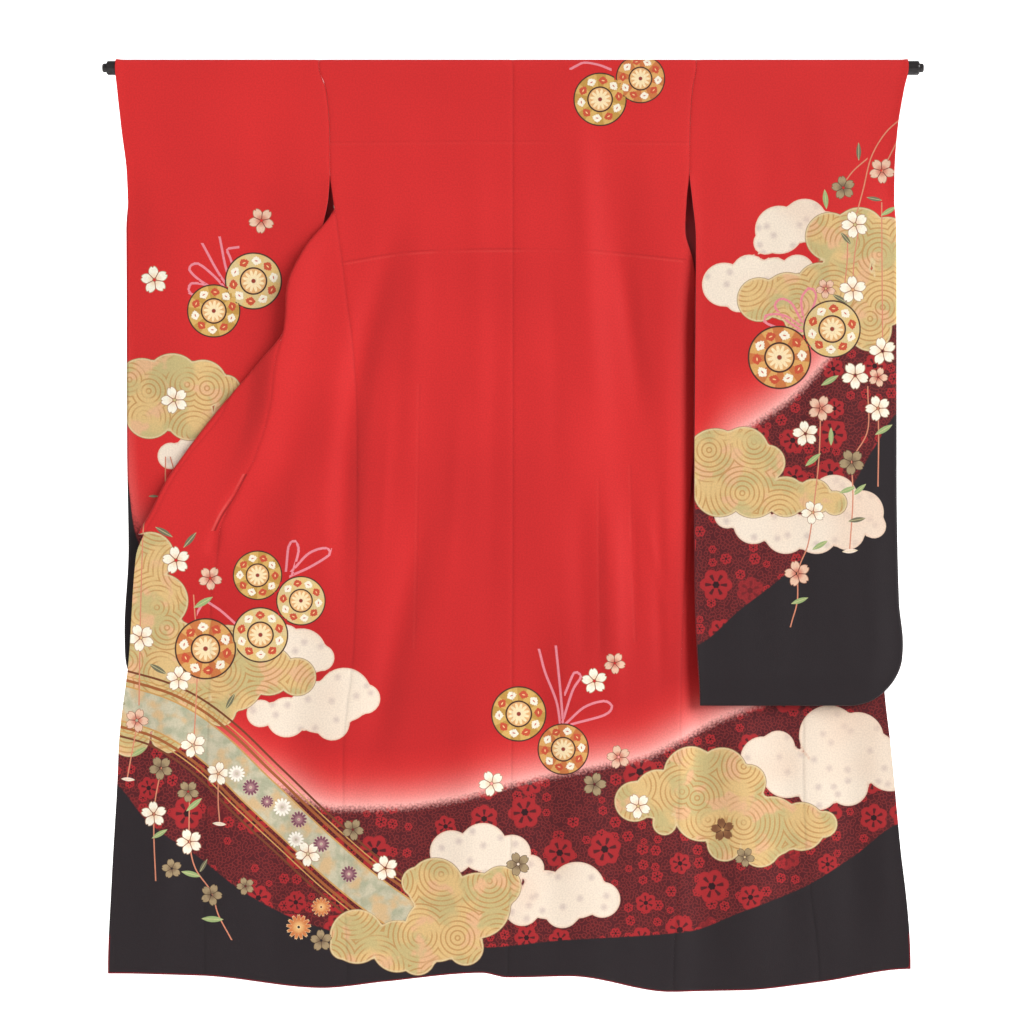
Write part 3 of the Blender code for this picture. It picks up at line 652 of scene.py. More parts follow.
@dataclass(frozen=True)
class Pattern:
    """The pattern of one part of the garment, laid out as it hangs.

    Attributes:
        band_line: Points of the line where the red ground ends and the flowered band begins.
        black_line: Points of the line where the band ends and the black foot begins.
        cream: Lobes of the cream clouds.
        gold: Lobes of the gold clouds, which lie over the cream ones.
        flowers: Blossoms and chrysanthemums.
        leaves: Leaves and buds.
        balls: Thread balls.
        strokes: Branches, cords and the painted shade of storage creases, each through a few points.
        stream: Points along the middle of the flowing stream, if there is one.
        glow: Strength of the pale glow above the band.
    """

    band_line: tuple[Point, ...]
    black_line: tuple[Point, ...]
    cream: tuple[Lobe, ...]
    gold: tuple[Lobe, ...]
    flowers: Stamps
    leaves: Stamps
    balls: Stamps
    strokes: Strokes
    stream: tuple[Point, ...] = ()
    glow: float = 1.0


SKIRT_PATTERN = Pattern(
    band_line=(
        (-687, 1148), (-614, 1161), (-527, 1183), (-423, 1235), (-301, 1281), (-197, 1279), (-110, 1267),
        (0, 1239), (151, 1208), (221, 1195), (291, 1164), (360, 1129), (430, 1103), (534, 1072),
        (673, 1021),
    ),
    black_line=(
        (-698, 1239), (-632, 1308), (-545, 1369), (-458, 1435), (-371, 1479), (-231, 1514), (-57, 1526),
        (82, 1514), (308, 1500), (395, 1467), (499, 1427), (586, 1375), (682, 1312),
    ),
    cream=(
        (548, 1213, 36), (-365, 1016, 42), (-332, 1025, 23), (-395, 995, 28), (-292, 1089, 47),
        (-339, 1110, 45), (-392, 1128, 35), (-256, 1096, 26), (-313, 1138, 30), (-437, 1121, 24),
        (-106, 1361, 38), (-52, 1352, 42), (-2, 1364, 33), (31, 1389, 23), (56, 1435, 42),
        (111, 1427, 49), (155, 1444, 31), (16, 1458, 31), (85, 1462, 31), (-23, 1413, 38),
        (433, 1201, 38), (477, 1225, 45), (461, 1183, 30), (550, 1161, 52), (600, 1166, 45),
        (625, 1199, 45), (583, 1249, 35), (531, 1256, 35), (656, 1213, 45),
    ),
    gold=(
        (-628, 849, 42), (-656, 905, 52), (-609, 926, 47), (-649, 995, 59), (-593, 1013, 56),
        (-536, 1044, 49), (-635, 1096, 56), (-569, 1114, 49), (-506, 1116, 27), (-482, 1068, 49),
        (-423, 1047, 43), (-374, 1058, 33), (-494, 1013, 45), (-437, 1004, 38), (-663, 1161, 35),
        (-597, 1161, 28), (-270, 1507, 47), (-200, 1524, 45), (-132, 1495, 56), (-61, 1453, 57),
        (-21, 1420, 35), (-134, 1420, 49), (-167, 1413, 26), (-294, 1524, 23), (-82, 1526, 31),
        (-165, 1543, 31), (211, 1274, 35), (252, 1262, 43), (308, 1227, 47), (364, 1225, 43),
        (409, 1242, 31), (329, 1295, 50), (388, 1291, 56), (449, 1319, 52), (501, 1319, 42),
        (541, 1315, 23), (430, 1354, 35), (367, 1349, 30), (263, 1312, 21),
    ),
    flowers={
        Motif.WHITE_BLOSSOM: (
            (-583, 856, 24.4, 10), (-644, 990, 24.4, 25), (-578, 1061, 22.6, 0), (-553, 1176, 22.6, 15),
            (-510, 1225, 20.9, 60), (-621, 1295, 22.6, 5), (-560, 1343, 22.6, 20), (-355, 1364, 22.6, 30),
            (-221, 1389, 22.6, 12), (-37, 1242, 22.6, 24), (141, 1065, 22.6, 8), (217, 1282, 22.6, 30),
        ),
        Motif.PALE_BLOSSOM: (
            (-524, 887, 20.9, 40), (-651, 1133, 20.9, 50), (176, 1034, 19.1, 40), (183, 1197, 20.9, 14),
        ),
        Motif.SHADOW_BLOSSOM: (
            (-609, 1215, 20.9, 30), (-562, 1256, 19.1, 35), (-590, 1389, 17.4, 10),
            (-522, 1435, 19.1, 50), (-463, 1420, 15.7, 20), (-277, 1322, 19.1, 44), (-332, 1514, 19.1, 5),
            (141, 1244, 20.9, 55), (9, 1382, 20.9, 20), (402, 1371, 17.4, 40),
        ),
        Motif.ORANGE_MUM: (
            (-371, 1491, 22.6, 0), (-332, 1456, 17.4, 0),
        ),
        Motif.BROWN_BLOSSOM: (
            (364, 1324, 20.9, 10),
        ),
        Motif.WHITE_MUM: (
            (-478, 1225, 15.7, 0), (-400, 1284, 17.4, 0), (-376, 1340, 15.7, 0),
        ),
        Motif.PLUM_MUM: (
            (-454, 1249, 15.7, 0), (-371, 1305, 15.7, 0), (-332, 1347, 15.7, 0), (-284, 1399, 15.7, 0),
            (-426, 1274, 12.2, 0),
        ),
    },
    leaves={
        Motif.GREY_LEAF: (
            (-604, 807, 17.4, 60), (-559, 821, 17.4, -40), (-684, 1100, 15.7, 70), (-614, 1044, 17.4, 60),
            (-489, 1100, 15.7, -30), (-536, 1385, 13.9, -30),
        ),
        Motif.GREEN_LEAF: (
            (-536, 929, 19.1, 120), (-647, 1187, 15.7, -60), (-552, 1279, 17.4, -50),
            (-611, 1329, 15.7, -60), (-557, 1399, 17.4, 75), (-520, 1477, 19.1, 88),
        ),
        Motif.BUD: (
            (-666, 1235, 12.2, 85), (-508, 1312, 12.2, 85),
        ),
    },
    balls={
        Motif.GOLD_BALL: (
            (151, 57, 47, 20), (10, 1122, 48.7, 15), (-442, 882, 43.5, 10),
        ),
        Motif.ORANGE_BALL: (
            (221, 21, 43.5, -30), (87, 1183, 45.2, -20), (-532, 1009, 53.9, 0),
        ),
        Motif.CREAM_BALL: (
            (-367, 926, 43.5, 40), (-437, 985, 48.7, 30),
        ),
    },
    strokes={
        Thread.STEM: (
            ((-632, 699), (-639, 786), (-644, 926), (-647, 1100)),
            ((-552, 926), (-546, 1030), (-552, 1169)),
            ((-651, 1145), (-659, 1187), (-666, 1225)),
            ((-609, 1221), (-619, 1274), (-621, 1326), (-618, 1402)),
            ((-510, 1232), (-510, 1274), (-508, 1302)),
            ((-560, 1274), (-560, 1340), (-550, 1389), (-522, 1430), (-510, 1469), (-489, 1509)),
        ),
        Thread.CORD: (
            ((-392, 867), (-388, 832), (-378, 823), (-371, 839), (-381, 877)),
            ((-381, 873), (-353, 844), (-325, 835), (-318, 846), (-350, 867), (-378, 880)),
            ((82, 1141), (75, 1100), (56, 1051), (47, 1018)),
            ((87, 1141), (82, 1082), (75, 1013)),
            ((92, 1138), (124, 1110), (158, 1100), (171, 1110), (158, 1124), (108, 1138)),
            ((85, 1138), (103, 1082), (117, 1058), (106, 1051), (92, 1082)),
            ((164, 3), (148, -3), (124, -7), (108, 0)),
            ((-536, 929), (-548, 950), (-552, 964)),
            ((-527, 929), (-506, 943), (-482, 964)),
        ),
        Thread.FAINT_CREASE: (
            ((-322, 131), (0, 129), (300, 131)),
            ((-161, 560), (-164, 780), (-168, 1000)),
            ((150, 720), (151, 920), (154, 1060)),
            ((205, 700), (208, 840), (214, 990)),
        ),
        Thread.CREASE: (
            ((-298, 340), (-155, 320), (111, 318), (290, 334)),
        ),
        Thread.SHARP_CREASE: (
            ((-466, 716), (-482, 745), (-502, 776), (-514, 800)),
        ),
    },
    stream=(
        (-687, 1100), (-597, 1128), (-519, 1180), (-437, 1260), (-345, 1347), (-258, 1422), (-162, 1491),
    ),
)
RIGHT_SLEEVE_PATTERN = Pattern(
    band_line=(
        (308, 699), (395, 630), (482, 569), (586, 456), (673, 378),
    ),
    black_line=(
        (308, 1004), (393, 941), (496, 856), (578, 743), (625, 661), (673, 599),
    ),
    cream=(
        (461, 284, 42), (505, 268, 38), (541, 285, 33), (437, 306, 21), (365, 379, 38), (409, 358, 31),
        (451, 367, 35), (492, 357, 30), (390, 404, 23), (555, 750, 42), (604, 773, 38), (472, 807, 38),
        (525, 807, 38), (416, 793, 35), (371, 778, 23), (625, 797, 21), (578, 807, 31),
    ),
    gold=(
        (656, 351, 33), (548, 296, 42), (600, 292, 47), (649, 303, 42), (426, 405, 38), (475, 400, 42),
        (531, 383, 42), (586, 390, 49), (642, 407, 45), (579, 338, 42), (499, 435, 31), (618, 456, 38),
        (350, 680, 52), (400, 668, 43), (440, 687, 31), (357, 736, 45), (416, 738, 45), (472, 746, 35),
        (520, 746, 31), (557, 757, 21),
    ),
    flowers={
        Motif.SHADOW_BLOSSOM: (
            (572, 211, 20.9, 10), (586, 686, 22.6, 30),
        ),
        Motif.PALE_BLOSSOM: (
            (639, 181, 22.6, 40), (541, 386, 17.4, 30), (532, 593, 22.6, 50), (492, 879, 22.6, 15),
            (632, 539, 17.4, 50),
        ),
        Motif.WHITE_BLOSSOM: (
            (592, 275, 24.4, 20), (588, 388, 24.4, 5), (640, 494, 24.4, 12), (592, 536, 24.4, 36),
            (632, 593, 22.6, 20), (506, 637, 22.6, 10), (519, 773, 20.9, 25),
        ),
    },
    leaves={
        Motif.GREY_LEAF: (
            (599, 148, 15.7, 0), (626, 230, 13.9, 80), (576, 299, 13.9, 40), (595, 786, 15.7, 100),
            (566, 404, 15.7, 60),
        ),
        Motif.GREEN_LEAF: (
            (541, 231, 17.4, 5), (651, 251, 15.7, -60), (548, 545, 17.4, -60), (550, 642, 15.7, 0),
            (519, 682, 17.4, 130), (642, 630, 17.4, -60), (579, 734, 15.7, 110), (599, 734, 15.7, -50),
            (531, 830, 15.7, -60), (496, 926, 15.7, 110),
        ),
        Motif.BUD: (
            (583, 840, 13.9, 95),
        ),
    },
    balls={
        Motif.ORANGE_BALL: (
            (461, 505, 55.7, -20),
        ),
        Motif.CREAM_BALL: (
            (552, 456, 50.5, 25),
        ),
    },
    strokes={
        Thread.STEM: (
            ((677, 87), (646, 115), (621, 157), (607, 212), (595, 256)),
            ((668, 125), (646, 169), (639, 184)),
            ((614, 160), (590, 181), (574, 202)),
            ((579, 299), (578, 338), (574, 378)),
            ((597, 292), (590, 338), (588, 386)),
            ((639, 247), (639, 351), (640, 482)),
            ((614, 560), (614, 630), (590, 675)),
            ((586, 693), (588, 752), (583, 830)),
            ((532, 599), (529, 682), (520, 766)),
            ((519, 776), (510, 830), (494, 873), (492, 926), (482, 964)),
            ((632, 599), (633, 647), (632, 720)),
        ),
        Thread.CORD: (
            ((499, 442), (482, 412), (463, 404), (454, 418), (475, 442), (496, 456)),
            ((503, 442), (499, 404), (513, 386), (524, 400), (510, 442)),
            ((496, 449), (468, 432), (440, 432), (438, 445), (468, 456), (496, 459)),
        ),
    },
)
LEFT_SLEEVE_PATTERN = Pattern(
    band_line=(
        (-675, 690), (-658, 780), (-606, 830), (-527, 880), (-440, 920), (-301, 960),
    ),
    black_line=(
        (-675, 698), (-659, 800), (-632, 870), (-545, 960), (-423, 1040), (-301, 1100),
    ),
    cream=(
        (-595, 675, 23), (-564, 665, 23), (-536, 679, 19),
    ),
    gold=(
        (-646, 550, 45), (-592, 546, 49), (-539, 550, 42), (-499, 560, 26), (-562, 606, 42),
        (-632, 602, 43), (-524, 633, 24), (-496, 595, 24),
    ),
    flowers={
        Motif.WHITE_BLOSSOM: (
            (-623, 369, 24.4, 8), (-588, 578, 24.4, 20), (-597, 760, 22.6, 5),
        ),
        Motif.PALE_BLOSSOM: (
            (-437, 266, 22.6, 30),
        ),
    },
    leaves={
        Motif.GREY_LEAF: (
            (-625, 745, 8.7, 90), (-600, 790, 13.9, 40),
        ),
    },
    balls={
        Motif.CREAM_BALL: (
            (-451, 371, 50.5, -15),
        ),
        Motif.GOLD_BALL: (
            (-520, 423, 47, 25),
        ),
    },
    strokes={
        Thread.STEM: (
            ((-604, 686), (-604, 720), (-600, 752)),
            ((-593, 686), (-579, 734), (-559, 786)),
        ),
        Thread.CORD: (
            ((-485, 390), (-499, 348), (-508, 303)),
            ((-489, 390), (-513, 355), (-536, 313)),
            ((-492, 393), (-520, 362), (-548, 341), (-562, 351), (-541, 372), (-496, 397)),
            ((-496, 398), (-531, 379), (-559, 376), (-560, 393), (-531, 397), (-496, 404)),
            ((-478, 386), (-489, 338), (-496, 317), (-482, 313)),
        ),
    },
    glow=0.15,
)


def below(line: tuple[Point, ...], x: Array, depth: Array) -> Array:
    """How far each place lies below a zone's line.

    Args:
        line: Points of the line.
        x: Places across.
        depth: Places down the garment.

    Returns:
        The distance from the line, negative above it.
    """
    level = Line(np.array(line) / MM_PER_METRE)
    slope = (level(x + 0.01) - level(x - 0.01)) / 0.02
    return (depth - level(x)) / np.sqrt(1.0 + slope**2)


def outside(lobes: tuple[Lobe, ...], x: Array, depth: Array) -> Array:
    """How far each place lies outside the clouds' scalloped outline.

    Args:
        lobes: The lobes of the clouds.
        x: Places across.
        depth: Places down the garment.

    Returns:
        The distance from the outline, negative inside the clouds.
    """
    nearest = np.full(x.shape, 1.0)
    for lobe_x, lobe_depth, radius in np.array(lobes) / MM_PER_METRE:
        nearest = np.minimum(nearest, np.hypot(x - lobe_x, depth - lobe_depth) - radius)
    return nearest


def unmarked(count: int) -> Array:
    """Corners that no motif and no line reaches, four to a face."""
    return np.broadcast_to([NOWHERE, NOWHERE, 0.0], (count, 4, 3)).copy()


def stamped(stamps: Stamps, middles: Array, corners: Array) -> Array:
    """Places of each face's corners on the motif that the face belongs to.

    Args:
        stamps: The motifs of one layer.
        middles: The x and depth of each face's middle.
        corners: The x and depth of each face's four corners.

    Returns:
        For each corner its x and height on the motif, in radii, and the motif's number.
    """
    places = unmarked(len(corners))
    rows = [(*row, motif.value) for motif in stamps for row in stamps[motif]]
    if not rows:
        return places
    table = np.array(rows) / (MM_PER_METRE, MM_PER_METRE, MM_PER_METRE, 1.0, 1.0)
    away = np.linalg.norm(middles[:, None, :] - table[None, :, :2], axis=-1)
    nearest = np.argmin(away / table[None, :, 2], axis=1)
    x, depth, radius, turn, number = table[nearest].T[..., None]
    turn = np.radians(turn)
    near = away[np.arange(len(nearest)), nearest] < radius[:, 0] * STAMP_REACH + STAMP_MARGIN
    right = (corners[..., 0] - x) / radius
    up = (depth - corners[..., 1]) / radius
    across = right * np.cos(turn) + up * np.sin(turn)
    height = up * np.cos(turn) - right * np.sin(turn)
    places[near] = np.stack([across, height, number + 0.0 * right], axis=-1)[near]
    return places


def drawn(strokes: Strokes, reach: float, middles: Array, corners: Array) -> Array:
    """Places of each face's corners along and across the nearest drawn line.

    Args:
        strokes: The drawn lines of one layer.
        reach: How far from a line its faces may lie.
        middles: The x and depth of each face's middle.
        corners: The x and depth of each face's four corners.

    Returns:
        For each corner the way along the line, the way across it, and the line's number.
    """
    places = unmarked(len(corners))
    parts = [part for thread in strokes for line in strokes[thread] for part in bent(line, thread)]
    if not parts:
        return places
    table = np.array(parts)
    start, way = table[:, :2], table[:, 2:4]
    length = np.linalg.norm(way, axis=-1)
    way = way / length[:, None]
    for first in range(0, len(middles), FACE_BATCH):
        faces = slice(first, first + FACE_BATCH)
        offset = middles[faces, None, :] - start[None]
        along = np.einsum("fpk,pk->fp", offset, way)
        past = np.maximum(np.maximum(-along, along - length), 0.0)
        across = offset[..., 0] * way[:, 1] - offset[..., 1] * way[:, 0]
        away = np.hypot(across, past)
        nearest = np.argmin(away, axis=1)
        near = away[np.arange(len(nearest)), nearest] < reach
        chosen, own_way = table[nearest], way[nearest]
        offset = corners[faces] - chosen[:, None, :2]
        along = np.einsum("fck,fk->fc", offset, own_way)
        across = offset[..., 0] * own_way[:, None, 1] - offset[..., 1] * own_way[:, None, 0]
        own = np.stack([along + chosen[:, None, 4], across, chosen[:, None, 5] + 0.0 * along], -1)
        places[faces][near] = own[near]
    return places


def bent(line: tuple[Point, ...], thread: Thread) -> list[tuple[float, ...]]:
    """Short straight parts of a drawn line that bends smoothly through its points.

    Args:
        line: The points of the line.
        thread: What it is drawn with.

    Returns:
        For each part its start, its run, the way gone before it, and the line's number.
    """
    points = np.array(line) / MM_PER_METRE
    ends = np.vstack([2 * points[0] - points[1], points, 2 * points[-1] - points[-2]])
    curve = [points[0]]
    for i in range(len(points) - 1):
        a, b, c, d = ends[i : i + 4]
        steps = max(2, round(np.linalg.norm(c - b) / STROKE_STEP))
        for t in np.linspace(0.0, 1.0, steps + 1)[1:]:
            even = 2 * b + (c - a) * t + (2 * a - 5 * b + 4 * c - d) * t**2
            curve.append(0.5 * (even + (3 * b - a - 3 * c + d) * t**3))
    parts = []
    gone = 0.0
    for start, end in zip(curve, curve[1:]):
        run = end - start
        parts.append((*start, *run, gone, thread.value))
        gone += float(np.linalg.norm(run))
    return parts


def linked(name: str, data: bpy.types.ID) -> bpy.types.Object:
    """Links a new object to the scene.

    Args:
        name: The object's name.
        data: The mesh, light or camera that it shows.

    Returns:
        The object.
    """
    thing = bpy.data.objects.new(name, data)
    bpy.context.scene.collection.objects.link(thing)
    return thing


@dataclass
class Cloth:
    """A sewn panel as a fine grid of points, made into a wall with a lining face.

    Attributes:
        pattern: What is dyed on its outer face.
        points: Rows of the wall's middle.
        outers: The direction that the outer face has at each point.
        sewn: Distance of each point from the nearest sewn edge.
        rolled: Distance of each point from the nearest free, rolled edge.
        faces: Point numbers of each face.
        count: Points added so far.
    """

    pattern: Pattern
    points: list[Array] = field(default_factory=list)
    outers: list[Array] = field(default_factory=list)
    sewn: list[Array] = field(default_factory=list)
    rolled: list[Array] = field(default_factory=list)
    faces: list[Array] = field(default_factory=list)
    count: int = 0

    def add(self, facings: tuple[Array, Array], sewn: Array, rolled: Array) -> Array:
        """Adds a grid of points.

        Args:
            facings: The points and their outward directions.
            sewn: Distance of each point from a sewn edge.
            rolled: Distance of each point from a rolled edge.

        Returns:
            The number of each point, in the grid's own shape.
        """
        shape = facings[0].shape[:-1]
        size = int(np.prod(shape))
        numbers = np.arange(self.count, self.count + size).reshape(shape)
        self.count += size
        self.points.append(facings[0].reshape(-1, 3))
        self.outers.append(facings[1].reshape(-1, 3))
        self.sewn.append(np.broadcast_to(sewn, shape).reshape(-1))
        self.rolled.append(np.broadcast_to(rolled, shape).reshape(-1))
        return numbers

    def join(self, numbers: Array) -> None:
        """Fills a grid of point numbers with faces."""
        quads = [numbers[:-1, :-1], numbers[:-1, 1:], numbers[1:, 1:], numbers[1:, :-1]]
        self.faces.append(np.stack(quads, axis=-1).reshape(-1, 4))

    def faces_outward(self, points: Array, outers: Array) -> Array:
        """Turns each face so that it faces the way its points do.

        Args:
            points: All points of the wall's middle.
            outers: Their outward directions.

        Returns:
            The four point numbers of each face.
        """
        quads = np.vstack(self.faces)
        crossing = points[quads[:, 2]] - points[quads[:, 0]]
        other = points[quads[:, 3]] - points[quads[:, 1]]
        inward = (np.cross(crossing, other) * outers[quads].sum(axis=1)).sum(axis=1) < 0.0
        quads[inward] = quads[inward][:, ::-1]
        return quads

    def make(self, name: str, silk: bpy.types.Material, lining: bpy.types.Material) -> bpy.types.Object:
        """Makes the wall: the dyed face, the lining face and the rims along its edges.

        Args:
            name: The piece's name.
            silk: Material of the outer face.
            lining: Material of the inner face and of the rolled rims.

        Returns:
            The finished piece.
        """
        points, outers = np.vstack(self.points), np.vstack(self.outers)
        sewn, rolled = np.concatenate(self.sewn), np.concatenate(self.rolled)
        quads = self.faces_outward(points, outers)
        sunk = SEAM_SINK * np.exp(-((sewn / EDGE_SOFTNESS) ** 2))
        roll = ROLL_SWELL * np.exp(-(((rolled - ROLL_MIDDLE) / ROLL_REACH) ** 2)) * (rolled < FAR_EDGE)
        half = (WALL / 2) * (1.0 - sunk + roll)[:, None]
        wall = np.vstack([points + outers * half, points - outers * half])
        sides = np.concatenate([np.stack([quads[:, i], quads[:, (i + 1) % 4]], -1) for i in range(4)])
        keys = np.sort(sides, axis=1) @ np.array([len(points), 1])
        _, first, uses = np.unique(keys, return_index=True, return_counts=True)
        a, b = sides[first[uses == 1]].T
        shift = len(points)
        rims = np.stack([b, a, a + shift, b + shift], axis=-1)
        everything = np.vstack([quads, quads[:, ::-1] + shift, rims])
        mesh = bpy.data.meshes.new(name)
        mesh.from_pydata(wall.tolist(), [], everything.tolist())
        mesh.materials.append(silk)
        mesh.materials.append(lining)
        slots = np.ones(len(everything), int)
        slots[: len(quads)] = 0
        mesh.polygons.foreach_set("material_index", slots)
        self.dye(mesh, wall[:shift], quads)
        edges = np.stack([sewn, rolled, 0.0 * sewn], axis=-1)
        self.write(mesh, "edges", "POINT", np.vstack([edges, edges]))
        mesh.shade_smooth()
        mesh.set_sharp_from_angle(angle=SHARP_ANGLE)
        return linked(name, mesh)

    def write(self, mesh: bpy.types.Mesh, name: str, domain: str, values: Array) -> None:
        """Writes three numbers for each point or corner of a mesh as one attribute."""
        flat = values.astype(np.float32).ravel()
        mesh.attributes.new(name, "FLOAT_VECTOR", domain).data.foreach_set("vector", flat)

    def dye(self, mesh: bpy.types.Mesh, outer: Array, quads: Array) -> None:
        """Writes the pattern on a mesh as attributes that the silk reads.

        Args:
            mesh: The wall's mesh.
            outer: Points of the outer face.
            quads: Faces of the outer face, which come first in the mesh.
        """
        x, depth = outer[:, 0], -outer[:, 2]
        pattern = self.pattern
        inner = np.zeros((len(outer), 3))
        lines = [below(pattern.band_line, x, depth), below(pattern.black_line, x, depth)]
        zones = np.stack([*lines, 0.0 * x + pattern.glow], axis=-1)
        self.write(mesh, "zones", "POINT", np.vstack([zones, inner]))
        outlines = [outside(pattern.cream, x, depth), outside(pattern.gold, x, depth)]
        clouds = np.stack([*outlines, 0.0 * x], axis=-1)
        self.write(mesh, "clouds", "POINT", np.vstack([clouds, inner]))
        corners = np.stack([x, depth], axis=-1)[quads]
        middles = corners.mean(axis=1)
        stream = {Thread.STEM: (pattern.stream,)} if pattern.stream else {}
        layers = {
            "flowers": stamped(pattern.flowers, middles, corners),
            "leaves": stamped(pattern.leaves, middles, corners),
            "balls": stamped(pattern.balls, middles, corners),
            "strokes": drawn(pattern.strokes, STROKE_REACH, middles, corners),
            "stream": drawn(stream, STREAM_REACH, middles, corners),
        }
        rest = unmarked(len(mesh.polygons) - len(quads))
        for name, places in layers.items():
            self.write(mesh, name, "CORNER", np.concatenate([places, rest]))


@dataclass
class Panel:
    """A sewn panel, cut from one strip of silk.

    Attributes:
        name: The piece's name.
        node: The solid that it stands for.
        flat: Width and length of the strip before it is folded and sewn. Not used.
        area: Flat area of the strip, less what is cut out of it. Not used.
        pattern: What is dyed on it.
    """

    name: str
    node: str
    flat: tuple[float, float]
    area: float
    pattern: Pattern

    slot = "silk_body"

    def build(self, silk: bpy.types.Material, lining: bpy.types.Material) -> bpy.types.Object:
        """Makes the panel, hangs it on the root and hides the solid that it stands for.

        Args:
            silk: Material of the dyed face.
            lining: Material of the lining face.

        Returns:
            The panel.
        """
        cloth = Cloth(self.pattern)
        self.sew(cloth)
        piece = cloth.make(self.name, silk, lining)
        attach(piece, "root")
        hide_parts(self.node)
        log.info("%s: %d faces", piece.name, len(piece.data.polygons))
        return piece


@dataclass
class BodyPanel(Panel):
    """One body panel, cut as a strip: back hem, over the rod, front hem.

    Attributes:
        front: The side of the garment that it belongs to.
        columns: Steps across the back.
    """

    front: FrontSide
    columns: int = 52

    def sew(self, cloth: Cloth) -> None:
        """Lays out the panel.

        Args:
            cloth: The cloth that the panel is made of.
        """
        side = self.front.side
        width = abs(float(side(0.0)))
        neck_share = 1.0 - NECK_HALF_WIDTH / width
        shares = np.unique(np.append(edged(width, self.columns), neck_share))
        shoulder = int(np.searchsorted(shares, neck_share))
        depths = hemmed_depths(ROW_STEP)[::-1, None]
        x = mix(side(depths), centre_line(depths), shares[None, :])
        depth = depths + 0.0 * x
        sewn = np.minimum(np.abs(x - centre_line(depths)), np.abs(x - side(depths)))
        back = cloth.add(facing(back_place, x, depth, -1.0), sewn, HEM_DEPTH - depth)
        top = mix(float(side(0.0)), 0.0, shares)
        sewn = np.minimum(np.abs(top), np.abs(top - float(side(0.0))))[None, :]
        over = cloth.add(over_rod(top), sewn, FAR_EDGE)
        depths = hemmed_depths(ROW_STEP)
        end = self.front.body_edge(depths)
        even = mix(0.0, end[:, None], np.linspace(0.0, 1.0, shoulder + 1)[None, :])
        packed = crowded(0.0 * end, end, shoulder, self.front.seam("fold", depths))
        across = mix(even, packed, smooth(depths, 0.0, 0.15)[:, None])
        depth = depths[:, None] + 0.0 * across
        facings = facing(self.front.place, across, depth, -self.front.outward)
        front = cloth.add(facings, np.minimum(across, end[:, None] - across), HEM_DEPTH - depth)
        cloth.join(np.vstack([back, over]))
        cloth.join(np.vstack([over[-1:, : shoulder + 1], front]))


@dataclass
class OkumiPanel(Panel):
    """One overlap panel, from its point under the collar down to the hem.

    Attributes:
        front: The side of the garment that it belongs to.
        columns: Steps across it.
    """

    front: FrontSide
    columns: int = 30

    slot = "silk_okumi"

    def sew(self, cloth: Cloth) -> None:
        """Lays out the panel.

        Args:
            cloth: The cloth that the panel is made of.
        """
        depths = hemmed_depths(KENSAKI_DEPTH)
        start = self.front.seam("okumi_seam", depths)
        end = self.front.seam("collar_seam", depths)
        across = crowded(start, end, self.columns, self.front.seam("fold", depths))
        depth = depths[:, None] + 0.0 * across
        facings = facing(self.front.place, across, depth, -self.front.outward)
        sewn = across - start[:, None]
        free = end[:, None] - across
        hanging_free = depth > COLLAR_FOOT
        sewn = np.where(hanging_free, sewn, np.minimum(sewn, free))
        rolled = np.minimum(HEM_DEPTH - depth, np.where(hanging_free, free, FAR_EDGE))
        cloth.join(cloth.add(facings, sewn, rolled))


@dataclass
class Collar(Panel):
    """The collar: down both front edges, and round the back of the neck.

    Attributes:
        columns: Steps across it.
        bridge_columns: Steps from one side of the neck to the other.
    """

    columns: int = 12
    bridge_columns: int = 14

    slot = "silk_collar"

    def side_rows(self, front: FrontSide, depths: Array, crowd: Array) -> tuple[Array, Array, Array]:
        """Rows across the collar on one front.

        Args:
            front: The side of the garment.
            depths: Depths of the rows.
            crowd: Where each row turns.

        Returns:
            The points, their outward directions, and their distances from the seam.
        """
        seam = front.seam("collar_seam", depths)
        across = crowded(seam, seam + COLLAR_WIDTH, self.columns, crowd)
        depth = depths[:, None] + 0.0 * across
        points, outers = facing(front.place, across, depth, -front.outward)
        return points, outers, across - seam[:, None]

    def sew(self, cloth: Cloth) -> None:
        """Lays out the collar.

        Args:
            cloth: The cloth that the collar is made of.
        """
        lower = row_depths(COLLAR_WIDTH, COLLAR_FOOT)[1:]
        depths = np.concatenate([row_depths(0.0004, COLLAR_WIDTH), lower])
        seam = right_front.seam("collar_seam", depths)
        fold = right_front.seam("fold", depths)
        right_crowd = np.where(fold < seam, seam + COLLAR_TURN(depths), fold)
        left = self.side_rows(left_front, depths, left_front.seam("fold", depths))
        right = self.side_rows(right_front, depths, right_crowd)
        left_numbers = cloth.add(left[:2], left[2], FAR_EDGE)
        right_numbers = cloth.add(right[:2], right[2], FAR_EDGE)
        rows = int(np.sum(depths <= COLLAR_WIDTH + 1e-6))
        share = np.linspace(0.0, 1.0, self.bridge_columns + 1)[1:-1][None, :, None]
        neck = mix(left[0][:rows, -1:], right[0][:rows, -1:], share)
        outward = np.broadcast_to(np.array([0.0, 1.0, 0.0]), neck.shape)
        bridge = cloth.add((neck, outward), depths[:rows, None], FAR_EDGE)
        cloth.join(left_numbers)
        cloth.join(right_numbers)
        cloth.join(np.hstack([left_numbers[:rows, -1:], bridge, right_numbers[:rows, -1:]]))


